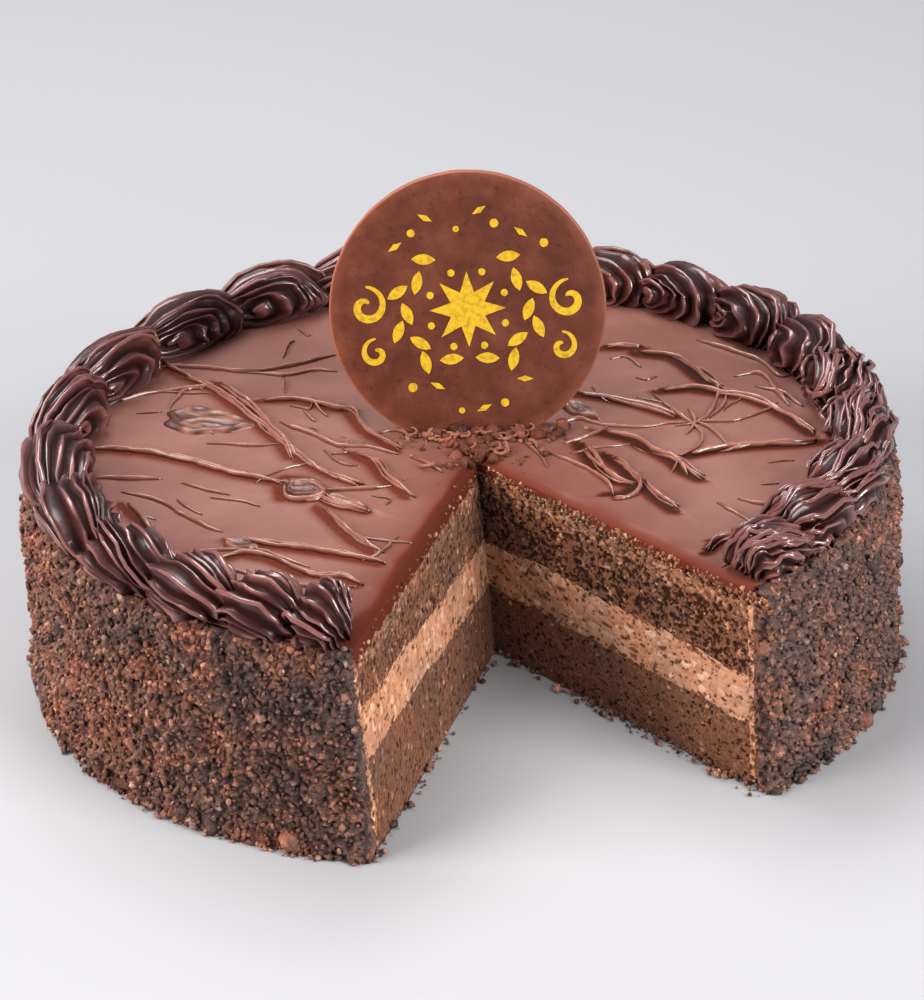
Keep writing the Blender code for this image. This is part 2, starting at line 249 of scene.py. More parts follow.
def stack_layer(name, outline, low, high, sheets, depth, lid=None):
    """One layer of the cake between two wandering edges, with the crumb relief on its cuts."""
    places, ways, face, reach = outline
    rows = max(4, round(float(np.mean(high - low)) / CUT_STEP))
    rings = []
    tones = []
    for row in range(rows + 1):
        height = low + (high - low) * row / rows
        push = knife_wander(face, reach, height)
        tone = np.full(len(places), 0.5)
        for side, (relief, shade) in zip((RIGHT_FACE, LEFT_FACE), sheets):
            on = face == side
            push[on] += depth * read_sheet(relief, reach[on], height[on])
            tone[on] = read_sheet(shade, reach[on], height[on])
        spots = places + ways * push[:, None] + knife_lean(places, height, face, reach)
        rings.append(np.column_stack([spots, height]))
        tones.append(tone)
    return close_rings(name, rings, tones, lid)


def finish(name, rough, **sockets):
    """A new material and its shader, with the values that are the same all over set on the shader."""
    made = bpy.data.materials.new(name)
    made.use_nodes = True
    shader = made.node_tree.nodes["Principled BSDF"]
    shader.inputs["Roughness"].default_value = rough
    for socket, value in sockets.items():
        shader.inputs[socket.replace("_", " ")].default_value = value
    return made, shader


def add(made, kind, values=None, **settings):
    """A new node in a material, with its settings and its sockets' values."""
    node = made.node_tree.nodes.new("ShaderNode" + kind)
    for setting, value in settings.items():
        setattr(node, setting, value)
    for socket, value in (values or {}).items():
        node.inputs[socket].default_value = value
    return node


def join(made, start, end):
    made.node_tree.links.new(start, end)


def grain(made, size, detail=3.0, rough=0.55):
    """Noise whose lumps are about this big, in the cake's own space."""
    place = add(made, "TexCoord")
    texture = add(made, "TexNoise", {"Scale": 1 / size, "Detail": detail, "Roughness": rough})
    join(made, place.outputs["Object"], texture.inputs["Vector"])
    return texture.outputs["Fac"]


def mesh_tone(made):
    """The tone that a mesh keeps for each of its points."""
    return add(made, "Attribute", attribute_name="tone").outputs["Fac"]


def spread(made, source, start, end, low, high):
    """Stretches an output's range from start to end over low to high."""
    node = add(made, "MapRange", {"From Min": start, "From Max": end, "To Min": low, "To Max": high})
    join(made, source, node.inputs["Value"])
    return node.outputs["Result"]


def ramp(made, source, stops):
    """Colours by an output, from stops that are each a place and a colour."""
    node = add(made, "ValToRGB")
    marks = node.color_ramp.elements
    while len(marks) < len(stops):
        marks.new(0.5)
    for mark, (place, colour) in zip(marks, stops):
        mark.position = place
        mark.color = (*colour, 1.0)
    join(made, source, node.inputs["Fac"])
    return node.outputs["Color"]


def mixed(made, first, second, share, blend="MIX"):
    """Two colours mixed: share is a number or the output that drives it."""
    node = add(made, "Mix", data_type="RGBA", blend_type=blend)
    for colour, socket in ((first, node.inputs[6]), (second, node.inputs[7])):
        if isinstance(colour, tuple):
            socket.default_value = (*colour, 1.0)
        else:
            join(made, colour, socket)
    if isinstance(share, float):
        node.inputs[0].default_value = share
    else:
        join(made, share, node.inputs[0])
    return node.outputs[2]


def bump(made, shader, heights):
    """Relief too fine to model: each height is an output, its depth in metres and its weight."""
    normal = None
    for source, depth, strength in heights:
        node = add(made, "Bump", {"Distance": depth, "Strength": strength})
        join(made, source, node.inputs["Height"])
        if normal is not None:
            join(made, normal, node.inputs["Normal"])
        normal = node.outputs["Normal"]
    join(made, normal, shader.inputs["Normal"])


SOFT_PATCHES = ((0.35, (0.86, 0.90, 0.98)), (0.65, (1.12, 1.0, 0.92)))


def crumb_finish(name, tones, fine=0.5 * MM, rough=0.88, patch_size=14 * MM, patches=SOFT_PATCHES,
                 speckle=0.11, pits=1.0, shine=0.25):
    """Baked crumb: dark with painted shade in its pores, mid brown on its walls, pale where grains catch the
    light.
    """
    made, shader = finish(name, rough, Specular_IOR_Level=shine)
    speck = grain(made, fine, 4.0, 0.7)
    total = add(made, "Math", operation="ADD", use_clamp=True)
    join(made, mesh_tone(made), total.inputs[0])
    join(made, spread(made, speck, 0.3, 0.7, -speckle, speckle), total.inputs[1])
    warm = ramp(made, grain(made, patch_size, 2.0), patches)
    colour = mixed(made, ramp(made, total.outputs[0], tones), warm, 1.0, "MULTIPLY")
    join(made, colour, shader.inputs["Base Color"])
    bump(made, shader, ((speck, 0.4 * MM * pits, 0.7), (grain(made, 0.22 * MM), 0.2 * MM * pits, 0.5)))
    return made


def serve(piece, made, slot, *nodes):
    """Gives a piece its material, sets it on the cake and lets it stand for its nodes."""
    piece.data.materials.clear()
    piece.data.materials.append(made)
    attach(piece, "root")
    if nodes:
        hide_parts(*nodes)


sponge_finish = crumb_finish("sponge_crumb", SPONGE_TONES)
sponge_outline = walk_round(SPONGE_RADIUS)
open_sheets = [cut_sheet(11, 6200, (0.18 * MM, 0.58 * MM), 4200, (0.25 * MM, 0.60 * MM), 0.16),
               cut_sheet(12, 4600, (0.18 * MM, 0.50 * MM), 4600, (0.25 * MM, 0.60 * MM), 0.16, True)]
# Painted light: the right cut's sheet of the low layer is made a little paler, for how that face is lit.
dense_sheets = [cut_sheet(13, 2300, (0.16 * MM, 0.42 * MM), 3600, (0.25 * MM, 0.55 * MM), 0.04, paler=0.02),
                cut_sheet(14, 2600, (0.16 * MM, 0.42 * MM), 3800, (0.25 * MM, 0.60 * MM), 0.06, True)]
fleck_draw = np.random.default_rng(15)
for sheet in open_sheets:
    for _ in range(FLECKS_UNDER_TOP):
        row = (SPONGE_TOP - 4.5 * MM * fleck_draw.random() ** 1.6) / CUT_STEP
        spot = row, fleck_draw.uniform(0, sheet[0].shape[1])
        size = fleck_draw.uniform(0.25, 0.6) * MM / CUT_STEP
        span = size, size * fleck_draw.uniform(0.8, 1.8)
        press(sheet, spot, span, 0.2 * MM, fleck_draw.uniform(0.6, 0.92))
spots = sponge_outline[0]
cut_bottom = filling_floor(spots) + uneven(spots, 21, 0.9 * MM, 0.50 * MM)
cut_middle = filling_floor(spots) + FILLING_THICK + uneven(spots, 22, 1.1 * MM, 0.65 * MM)
cut_roof = np.full(len(spots), SPONGE_TOP) + uneven(spots, 23, 0.3 * MM, 0.3 * MM)
cut_foot = np.zeros(len(spots))
bottom_layer = stack_layer("bottom_sponge_layer", sponge_outline, cut_foot, cut_bottom, dense_sheets, 0.8)
serve(bottom_layer, sponge_finish, "sponge", "sponge_bottom")
top_layer = stack_layer("top_sponge_layer", sponge_outline, cut_middle, cut_roof, open_sheets, 1.0)
serve(top_layer, sponge_finish, "sponge", "sponge_top")


# The filling is airy light chocolate mousse, spread between the sponges and set.
# The knife dragged dark crumbs and fine streaks across its cut faces.
MOUSSE_TONES = ((0.0, (0.060, 0.022, 0.011)), (0.25, (0.190, 0.080, 0.040)), (0.5, (0.400, 0.195, 0.108)),
                (0.75, (0.510, 0.275, 0.170)), (1.0, (0.650, 0.420, 0.290)))
DRAGGED_CRUMBS = 200
EDGE_CRUMBS = 420

mousse_finish = crumb_finish("set_mousse", MOUSSE_TONES, 0.8 * MM, 0.7)
# Painted light: the right cut's sheet of the mousse is made paler, for how that face is lit.
mousse_sheets = [cut_sheet(31, 1500, (0.16 * MM, 0.50 * MM), 2800, (0.4 * MM, 1.1 * MM), 0.10, paler=0.06),
                 cut_sheet(32, 1200, (0.16 * MM, 0.45 * MM), 3200, (0.4 * MM, 1.2 * MM), 0.14, True)]
drag = np.random.default_rng(33)
for sheet, along in zip(mousse_sheets, (RIGHT_ALONG, LEFT_ALONG)):
    rows, columns = sheet[0].shape
    for _ in range(DRAGGED_CRUMBS):
        spot = drag.uniform(0, rows), drag.uniform(0, columns)
        size = drag.uniform(0.2, 0.6) * MM / CUT_STEP
        press(sheet, spot, (size, size * drag.uniform(1, 5)), 0.3 * MM, drag.uniform(0.0, 0.2))
    for _ in range(EDGE_CRUMBS):
        reach = CUT_REACH * drag.random()
        place = CUT_TIP + along * reach
        edge = float(filling_floor(place[None, :])[0]) + drag.integers(0, 2) * FILLING_THICK
        spot = (edge + drag.normal(0, 0.9) * MM) / CUT_STEP, reach / CUT_STEP
        size = drag.uniform(0.2, 0.55) * MM / CUT_STEP
        press(sheet, spot, (size, size * drag.uniform(0.8, 2)), 0.25 * MM, drag.uniform(0.0, 0.25))
filling = stack_layer("mousse_layer", sponge_outline, cut_bottom, cut_middle, mousse_sheets, 0.7)
serve(filling, mousse_finish, "mousse", "mousse_filling")


# The same mousse is spread thinly over the top and side of the stacked sponge, to hold ganache and crumbs.
# It shows at the cuts as a pale line under the ganache and down behind the crumbs.
COAT_INNER = 94.4 * MM
COAT_OUTER = 96.0 * MM
SKIN_TOP = 46.2 * MM
WALL_FOOT = 1.0 * MM
WALL_STEP = 12 * MM

skin_outline = walk_round(COAT_OUTER)
skin_spots = skin_outline[0]
skin_low = SPONGE_TOP + uneven(skin_spots, 23, 0.3 * MM, 0.3 * MM)
skin_high = SKIN_TOP + uneven(skin_spots, 24, 0.35 * MM, 0.3 * MM)
skin_sheets = [cut_sheet(seed, 5200, (0.20 * MM, 0.60 * MM), 2600, (0.3 * MM, 0.8 * MM), 0.2)
               for seed in (35, 36)]
skin = stack_layer("mousse_skin", skin_outline, skin_low, skin_high, skin_sheets, 0.8)
serve(skin, mousse_finish, "mousse", "mousse_coat")


def walk_wall(inner, outer, outer_step, inner_step=HIDDEN_STEP):
    """A thin wall round the cake, open at the slice: its outline, and the faces that bridge it above."""
    arcs = []
    for radius, step in ((outer, outer_step), (inner, inner_step)):
        _, _, start, end = arc_ends(radius)
        turns = np.linspace(start, end, round((end - start) * radius / step))
        arcs.append(np.column_stack([np.cos(turns), np.sin(turns)]) * radius)
    arc, back = arcs
    steps = max(3, round(np.linalg.norm(arc[-1] - back[-1]) / CUT_STEP))
    share = np.arange(1, steps)[:, None] / steps
    left_end = arc[-1] + (back[-1] - arc[-1]) * share
    right_end = back[0] + (arc[0] - back[0]) * share
    places = np.vstack([arc, left_end, back[::-1], right_end])
    face = np.repeat((ARC_FACE, LEFT_FACE, ARC_FACE, RIGHT_FACE),
                     (len(arc), steps - 1, len(back), steps - 1))
    first_back = len(arc) + steps - 1
    last_back = first_back + len(back) - 1
    face[[0, last_back]] = RIGHT_FACE
    face[[len(arc) - 1, first_back]] = LEFT_FACE
    ways = places / np.linalg.norm(places, axis=1)[:, None]
    for side, _, away in CUTS:
        ways[face == side] = away
    chain = list(range(last_back + 1, len(places))) + list(range(first_back))
    turns = np.clip((np.arange(len(chain)) - steps + 1) / (len(arc) - 1), 0, 1)
    partner = last_back - np.round(turns * (len(back) - 1)).astype(int)
    lid = []
    for here, after, low, high in zip(chain, chain[1:], partner, partner[1:]):
        lid.append((here, after, int(low)))
        if high != low:
            lid.append((after, int(high), int(low)))
    return (places, ways, face, np.linalg.norm(places - CUT_TIP, axis=1)), len(arc), lid


wall_outline, _, wall_lid = walk_wall(COAT_INNER, COAT_OUTER, WALL_STEP, WALL_STEP)
wall_low = np.full(len(wall_outline[0]), WALL_FOOT)
wall_high = np.full(len(wall_outline[0]), SKIN_TOP)
wall = stack_layer("mousse_side", wall_outline, wall_low, wall_high, skin_sheets, 0.8, wall_lid)
serve(wall, mousse_finish, "mousse", "mousse_coat")


# The side is coated with dark cake crumbs, pressed by hand into the soft mousse.
# They bed into one rough crust, thicker at the foot and rounded over at the shoulder under the border.
CAKE_RADIUS = 100 * MM
CRUMB_INNER = 96.1 * MM
CRUMB_TOP = 49.1 * MM
CLUMP_SIZE = 7 * MM
SIDE_STEP = 0.72 * MM
CRUMB_TONES = ((0.0, (0.020, 0.009, 0.007)), (0.35, (0.081, 0.039, 0.030)), (0.6, (0.180, 0.083, 0.058)),
               (0.82, (0.305, 0.155, 0.112)), (1.0, (0.470, 0.300, 0.235)))
CRUMB_PATCHES = ((0.36, (0.68, 0.76, 0.80)), (0.50, (1.00, 0.94, 0.90)), (0.64, (1.36, 1.04, 0.88)))
BOX_MARGIN = 0.1 * MM


def clump_lift(azimuth, height):
    """The same clumps as the solid has, with a wider foot and a rounded shoulder."""
    around = np.column_stack([np.cos(azimuth), np.sin(azimuth)]) * CAKE_RADIUS
    spots = np.column_stack([around, height])
    lift = 1.7 * MM * (ripple(spots, CLUMP_SIZE, 0) + 0.5 * ripple(spots, CLUMP_SIZE / 2.3, 0))
    foot = 1.1 * MM * np.maximum(0, 1 - height / (12 * MM))
    shoulder = 2.0 * MM * np.maximum(0, 1 - (CRUMB_TOP - height) / (5 * MM)) ** 2
    return lift + foot - shoulder


def painted_front_shade(azimuth):
    """Painted shade: how much darker the crumbs are made towards the front, and a little towards the right,
    where less light falls on them.
    """
    degrees = np.degrees(azimuth) % 360
    return 0.13 * np.exp(-((degrees - 242) / 22) ** 2) + 0.05 * np.exp(-((degrees - 315) / 25) ** 2)


def keep_in_box(points):
    """Nothing stands out past the solid model."""
    low, high = np.array(cad_box) + np.array([[1], [-1]]) * BOX_MARGIN
    return np.clip(points, low, high)


crumb_outline, arc_count, crumb_lid = walk_wall(CRUMB_INNER, CAKE_RADIUS, SIDE_STEP)
places, ways, face, reach = crumb_outline
azimuth = np.arctan2(places[:, 1], places[:, 0])
side_rows = round(CRUMB_TOP / SIDE_STEP)
draw = np.random.default_rng(41)
side_relief = -0.60 * MM + 0.42 * MM * draw.standard_normal((side_rows + 1, arc_count))
# Painted shade: the crust's tone is darker where it sinks and paler where it stands out, plus a random
# spread.
side_tone = 0.36 + 0.45 * (side_relief / MM + 0.60) + 0.08 * draw.standard_normal(side_relief.shape)
end_relief, end_tone = cut_sheet(43, 2600, (0.3 * MM, 0.9 * MM), 4200, (0.4 * MM, 1.1 * MM), 0.06)
end_share = np.zeros(len(places))
end_share[arc_count - 1:] = np.clip((np.linalg.norm(places[arc_count - 1:], axis=1) - CRUMB_INNER)
                                    / (CAKE_RADIUS - CRUMB_INNER), 0, 1)
on_arc = np.arange(len(places)) < arc_count
round_ways = places / np.linalg.norm(places, axis=1)[:, None]
rings, tones = [], []
for row in range(side_rows + 1):
    height = np.full(len(places), CRUMB_TOP * row / side_rows)
    push = np.zeros(len(places))
    tone = np.full(len(places), 0.4)
    push[:arc_count] = clump_lift(azimuth[:arc_count], height[:arc_count]) + side_relief[row]
    # The crust takes the painted shade towards the front.
    tone[:arc_count] = side_tone[row] - painted_front_shade(azimuth[:arc_count])
    spots = places.copy()
    spots[on_arc] += round_ways[on_arc] * push[on_arc][:, None]
    for (side, along, _), corner in zip(CUTS, (0, arc_count - 1)):
        on = face == side
        spots[on] += along * (push[corner] * np.where(on_arc[on], 0, end_share[on]))[:, None]
        spots[corner] = places[corner] + along * push[corner]
        graze = read_sheet(end_relief, reach[on], height[on]) + knife_wander(face[on], reach[on], height[on])
        spots[on] += ways[on] * graze[:, None]
        tone[on] = read_sheet(end_tone, reach[on], height[on]) - 0.12
    spots += knife_lean(places, height, face, reach)
    rings.append(keep_in_box(np.column_stack([spots, height])))
    tones.append(tone)
crumb_side = close_rings("crumbed_side", rings, tones, crumb_lid)
side_finish = crumb_finish("pressed_crumbs", CRUMB_TONES, 0.55 * MM, 0.54, 12 * MM, CRUMB_PATCHES,
                           speckle=0.26, pits=1.5, shine=0.48)
serve(crumb_side, side_finish, "crumbs", "crumb_coat")


# Single crumbs stand proud of the crust all over, small ones closely and coarse clumps here and there.
# Each is a torn grain of the same cake. Some dropped round the foot and along the cuts.
FINE_CRUMBS = 9100
COARSE_CRUMBS = 420
FOOT_LUMPS = 76
FOOT_CRUMBS = 700
CUT_CRUMBS = 420


def crumb_body(divisions):
    """Corner points and faces of a small round grain."""
    work = bmesh.new()
    bmesh.ops.create_icosphere(work, subdivisions=divisions, radius=1.0)
    points = np.array([vertex.co[:] for vertex in work.verts])
    faces = np.array([[vertex.index for vertex in side.verts] for side in work.faces])
    work.free()
    return points, faces


def scatter_crumbs(name, centres, sizes, shades, seed, divisions=2):
    """Joins one torn grain at each centre into a single piece."""
    draw = np.random.default_rng(seed)
    body, sides = crumb_body(divisions)
    points, faces, tone = [], [], []
    for number, (centre, size, shade) in enumerate(zip(centres, sizes, shades)):
        spin = draw.uniform(0, 2 * math.pi)
        turn = Matrix.Rotation(spin, 3, Vector(draw.standard_normal(3)).normalized())
        torn = 1 + 0.34 * np.sin(body @ draw.standard_normal((3, 1)) * 2.6 + draw.uniform(0, 6)).ravel()
        torn += 0.16 * np.sin(body @ draw.standard_normal((3, 1)) * 5.5 + draw.uniform(0, 6)).ravel()
        grain_points = (body * torn[:, None] * draw.uniform(0.65, 1.1, 3)) @ np.array(turn).T
        points.append(grain_points * size + centre)
        faces.append(sides + number * len(body))
        tone.append(np.full(len(body), shade) + 0.1 * draw.standard_normal(len(body)))
    points = keep_in_box(np.vstack(points))
    points[:, 2] = np.maximum(points[:, 2], 0.05 * MM)
    return knit(name, points, np.vstack(faces).tolist(), np.clip(np.concatenate(tone), 0, 1))


def round_places(turns, reaches, heights):
    """Places round the cake, by angle, distance from its axis and height."""
    return np.column_stack([np.cos(turns) * reaches, np.sin(turns) * reaches, heights])


def scatter_on_side(name, count, small, large, rarity, sunk, tone, seed, divisions):
    """Crumbs all round the side, more of them low down, half sunk in the crust."""
    draw = np.random.default_rng(seed)
    rows = round(math.sqrt(count * CRUMB_TOP / ((arc_end - arc_start) * CAKE_RADIUS)))
    columns = count // rows
    places = np.arange(rows * columns)
    count = len(places)
    turns = arc_start + (arc_end - arc_start) * (places // rows + draw.random(count)) / columns
    heights = CRUMB_TOP * 1.01 * (places % rows + draw.random(count)) / rows
    sizes = small + (large - small) * draw.random(count) ** rarity
    reaches = CAKE_RADIUS + clump_lift(turns, heights) - sunk * sizes - 0.2 * MM * draw.random(count)
    centres = round_places(turns, reaches, np.maximum(heights, 0.7 * sizes))
    # Each crumb takes the painted shade towards the front as well.
    shades = np.clip(draw.normal(tone, 0.17, count) - painted_front_shade(turns), 0.05, 1.0)
    return scatter_crumbs(name, centres, sizes, shades, seed + 1, divisions)


right_corner, left_corner, arc_start, arc_end = arc_ends(CAKE_RADIUS)
fine = scatter_on_side("fine_side_crumbs", FINE_CRUMBS, 0.42 * MM, 1.05 * MM, 1.5, 0.30, 0.50, 51, 1)
serve(fine, side_finish, "crumbs")
coarse = scatter_on_side("coarse_side_crumbs", COARSE_CRUMBS, 1.0 * MM, 2.4 * MM, 2.5, 0.60, 0.34, 53, 2)
serve(coarse, side_finish, "crumbs")

draw = np.random.default_rng(57)
turns = arc_start + (arc_end - arc_start) * (np.arange(FOOT_LUMPS) + draw.random(FOOT_LUMPS)) / FOOT_LUMPS
sizes = draw.uniform(1.2, 2.5, FOOT_LUMPS) * MM
reaches = CAKE_RADIUS + 1.2 * MM - 0.58 * sizes
centres = round_places(turns, reaches, sizes * draw.uniform(0.6, 1.5, FOOT_LUMPS))
shades = np.clip(draw.normal(0.30, 0.12, FOOT_LUMPS), 0.05, 1.0)
lumps = scatter_crumbs("foot_lumps", centres, sizes, shades, 58)
serve(lumps, side_finish, "crumbs")

draw = np.random.default_rng(55)
turns = draw.uniform(arc_start, arc_end, FOOT_CRUMBS)
reaches = CAKE_RADIUS + (0.6 + 1.9 * draw.random(FOOT_CRUMBS) ** 2) * MM
sizes = 0.3 * MM + 0.9 * MM * draw.random(FOOT_CRUMBS) ** 2
centres = round_places(turns, reaches, sizes * 0.8)
share = draw.random(CUT_CRUMBS) ** 0.7
sides = draw.integers(0, 2, CUT_CRUMBS)
corners = np.where(sides[:, None] == 0, right_corner, left_corner)
off = (0.2 + 3.2 * draw.random(CUT_CRUMBS) ** 3) * MM
cut_ways = np.array((RIGHT_AWAY, LEFT_AWAY))
cut_spots = CUT_TIP + (corners - CUT_TIP) * share[:, None] + cut_ways[sides] * off[:, None]
cut_sizes = 0.25 * MM + 0.75 * MM * draw.random(CUT_CRUMBS) ** 2.5
centres = np.vstack([centres, np.column_stack([cut_spots, cut_sizes * 0.8])])
sizes = np.concatenate([sizes, cut_sizes])
shades = np.clip(draw.normal(0.5, 0.18, len(sizes)), 0.05, 1.0)
fallen = scatter_crumbs("fallen_crumbs", centres, sizes, shades, 53, 1)
serve(fallen, side_finish, "crumbs")


# The top is satin milk-chocolate ganache, poured and dragged smooth with a warm spatula.
# The spatula left low steps and ripples, and the knife rounded the ganache over at both cuts.
GANACHE_RADIUS = 95.8 * MM
GANACHE_LOW = 46.1 * MM
GANACHE_TOP = 49.1 * MM
TOP_COLUMNS = 400
TOP_ROWS = 104
EDGE_ROWS = 8
EDGE_TONE = 0.62
STOUT_TRAILS = (
    ((-58, 68), (-53, 57), (-48, 48), (-43, 32), (-39, 17), (-35, 2), (-30, -8), (-25, -14)),
    ((-46, 50), (-41, 34), (-38, 15), (-37, 5)),
    ((-38, 37), (-30, 35), (-22, 27), (-19, 25), (-18, 13), (-13, 1)),
    ((-23, 2), (-20, -4), (-19, -13), (-16, -23)),
    ((-82, 24), (-76, 22), (-69, 18), (-60, 10), (-51, 0), (-42, -8)),
    ((-42, -8), (-43, -15), (-39, -17), (-35, -16), (-37, -9), (-41, -7)),
    ((-36, -16), (-33, -22), (-27, -27)), ((-78, -7), (-75, -18), (-73, -30), (-71, -38)),
    ((-36, -23), (-34, -32), (-32, -40), (-29, -47)), ((-58, -31), (-48, -38), (-39, -44), (-29, -52)),
    ((-63, -39), (-57, -38), (-52, -42), (-46, -51), (-40, -55), (-36, -60)),
    ((-41, -58), (-43, -64), (-43, -71)), ((47, 41), (55, 38)),
    ((54, 35), (61, 30), (63, 24), (64, 16), (66, 9)),
    ((53, 13), (60, 12), (65, 8), (71, 3), (74, -2), (77, -11), (79, -20)),
    ((34, -5), (39, -10), (42, -17), (45, -24), (46, -30), (48, -34)),
    ((49, -22), (56, -21), (64, -22), (73, -24), (78, -24)),
    ((32, -18), (34, -26), (34, -32), (32, -36), (29, -38), (26, -37)),
    ((28, -10), (28, -20), (30, -29), (33, -32)), ((35, -32), (36, -40), (38, -47)),
    ((34, 17), (39, 13), (46, 7), (52, -1)), ((38, -67), (42, -63), (47, -63), (52, -65)),
)


def beside_trail(places, knots, above_reach, below_reach):
    """Falls from 1 on a trail to 0 away from it, over one reach above it and another below it."""
    knots = np.array(knots) * MM
    nearest = np.zeros(len(places))
    for start, end in zip(knots, knots[1:]):
        length = np.linalg.norm(end - start)
        ahead = (end - start) / length
        along = np.clip((places - start) @ ahead, 0, length)
        apart = places - start - along[:, None] * ahead
        gap = np.linalg.norm(apart, axis=1)
        above = apart @ np.array((-ahead[1], ahead[0])) > 0
        nearest = np.maximum(nearest, np.exp(-gap / np.where(above, above_reach, below_reach)))
    return nearest


def spatula_marks(places):
    """Height of the smoothed top above its level: broad swells, and a low step under each stout trail."""
    spots = np.column_stack([places, np.zeros(len(places))])
    rise = 0.30 * MM * ripple(spots, 30 * MM, 61) + 0.07 * MM * ripple(spots * (0.35, 1, 1), 6 * MM, 62)
    for knots in STOUT_TRAILS:
        rise += 0.40 * MM * beside_trail(places, knots, 4.5 * MM, 0.6 * MM)
    return rise


start_turn = math.atan2(RIGHT_ALONG[1], RIGHT_ALONG[0])
end_turn = math.atan2(LEFT_ALONG[1], LEFT_ALONG[0]) + 2 * math.pi
turns = np.linspace(start_turn, end_turn, TOP_COLUMNS + 1)
rays = np.column_stack([np.cos(turns), np.sin(turns)])
lean = rays @ CUT_TIP
lengths = np.sqrt(lean ** 2 - CUT_TIP @ CUT_TIP + GANACHE_RADIUS ** 2) - lean
shares = (np.arange(1, TOP_ROWS + 1) / TOP_ROWS) ** 0.85
grid = CUT_TIP + rays[None, :, :] * (lengths[None, :] * shares[:, None])[:, :, None]
flat = np.vstack([CUT_TIP[None, :], grid.reshape(-1, 2)])
out = np.concatenate([[0.0], np.repeat(shares, TOP_COLUMNS + 1)])[:, None]
from_left = np.concatenate([[0.0], np.tile(end_turn - turns, TOP_ROWS)])[:, None]
as_left = np.full(len(flat), LEFT_FACE)
as_right = np.full(len(flat), RIGHT_FACE)
top_level = np.full(len(flat), GANACHE_TOP)
toward_left = np.exp(-from_left / 0.35)
far = out.ravel() * SPONGE_RADIUS
sheet_lean = (knife_lean(flat, top_level, as_left, far) * toward_left
              + knife_lean(flat, top_level, as_right, far) * (1 - toward_left))
cut_distance = np.full(len(flat), 1.0)
for _, along, away in CUTS:
    apart = np.abs((flat - CUT_TIP) @ away)
    beside = (flat - CUT_TIP) @ along > -2 * MM
    cut_distance = np.where(beside, np.minimum(cut_distance, apart), cut_distance)
rolled = np.exp(-(cut_distance / (1.1 * MM)) ** 2)
level = GANACHE_TOP + spatula_marks(flat) - 0.75 * MM * rolled
faces = [(0, here, here + 1) for here in range(1, TOP_COLUMNS + 1)]
row = 1 + np.arange(TOP_ROWS - 1)[:, None] * (TOP_COLUMNS + 1)
here = row + np.arange(TOP_COLUMNS)[None, :]
ahead = here + TOP_COLUMNS + 1
faces += np.stack([here, ahead, ahead + 1, here + 1], axis=2).reshape(-1, 4).tolist()
right_edge = [1 + step * (TOP_COLUMNS + 1) for step in range(TOP_ROWS)]
outer_edge = list(range(right_edge[-1] + 1, right_edge[-1] + TOP_COLUMNS))
left_edge = [index + TOP_COLUMNS for index in right_edge][::-1]
rim = np.array([0] + right_edge + outer_edge + left_edge)
rim_face = np.repeat((RIGHT_FACE, ARC_FACE, LEFT_FACE), (TOP_ROWS + 1, len(outer_edge), TOP_ROWS))
rim_reach = np.linalg.norm(flat[rim] - CUT_TIP, axis=1)
rim_way = np.zeros((len(rim), 2))
for side, _, away in CUTS:
    rim_way[rim_face == side] = away
smear = np.column_stack([rim_reach, rim_face * 0.1, np.zeros(len(rim))])
droop = np.where(rim_face == LEFT_FACE, 1.7, 0.1) * MM + 0.9 * MM * ripple(smear, 4 * MM, 63)
droop = np.where(rim_face == ARC_FACE, 0, np.maximum(droop, -0.3 * MM))
points = [np.column_stack([flat + sheet_lean, level])]
for row in range(1, EDGE_ROWS + 1):
    part = row / EDGE_ROWS
    height = level[rim] + (GANACHE_LOW - droop - level[rim]) * part
    wobble = ripple(np.column_stack([rim_reach, height, rim_face * 0.1]), 2.6 * MM, 64)
    bulge = 0.50 * min(1, 2.2 * math.sin(math.pi * min(part, 0.9)) ** 0.7) + 0.16 * wobble * (row > 1)
    push = knife_wander(rim_face, rim_reach, height) + np.where(rim_face == ARC_FACE, 0, 1) * MM * bulge
    points.append(np.column_stack([flat[rim] + sheet_lean[rim] + rim_way * push[:, None], height]))
count = len(flat)
rings = [rim] + [count + row * len(rim) + np.arange(len(rim)) for row in range(EDGE_ROWS)]
for upper, lower in zip(rings, rings[1:]):
    faces += np.column_stack([lower, np.roll(lower, -1), np.roll(upper, -1), upper]).tolist()
faces += fan(count + EDGE_ROWS * len(rim), rings[-1], flip=True)
points.append([(*LAYER_HUB, GANACHE_LOW)])
waver = 1 + 0.7 * ripple(np.column_stack([flat, np.zeros(len(flat))]), 7 * MM, 65)
# Darker, redder ganache near both cuts, more towards the left one.
near_cut_and_shadow = (0.29 + 0.19 * toward_left.ravel()) * np.exp(-(cut_distance / (14 * MM)) ** 2)
near_cut_and_shadow += 0.29 * np.exp(-(cut_distance / (2.4 * MM * waver)) ** 2)
# Painted shadow: the sheet is darkened beside each stout trail, most on the right, as the shadow that trail
# casts.
for knots in STOUT_TRAILS:
    strength = 1.0 if knots[0][0] > 0 else 0.65
    shadow = np.clip(3 * beside_trail(flat, knots, 0.5 * MM, 3.4 * MM) - 0.8, 0, 1)
    near_cut_and_shadow = np.maximum(near_cut_and_shadow, strength * shadow)
near_cut_and_shadow = np.concatenate([near_cut_and_shadow, np.full(len(rim) * EDGE_ROWS + 1, EDGE_TONE)])
ganache_sheet = knit("ganache_sheet", np.vstack(points), faces, np.clip(near_cut_and_shadow, 0, 1))

ganache_finish, shader = finish("satin_ganache", 0.36, Specular_IOR_Level=0.26)
ganache_colour = ramp(ganache_finish, grain(ganache_finish, 28 * MM, 3.0),
                      ((0.35, (0.154, 0.060, 0.046)), (0.65, (0.202, 0.089, 0.070))))
near_cut_and_shadow_tone = mesh_tone(ganache_finish)
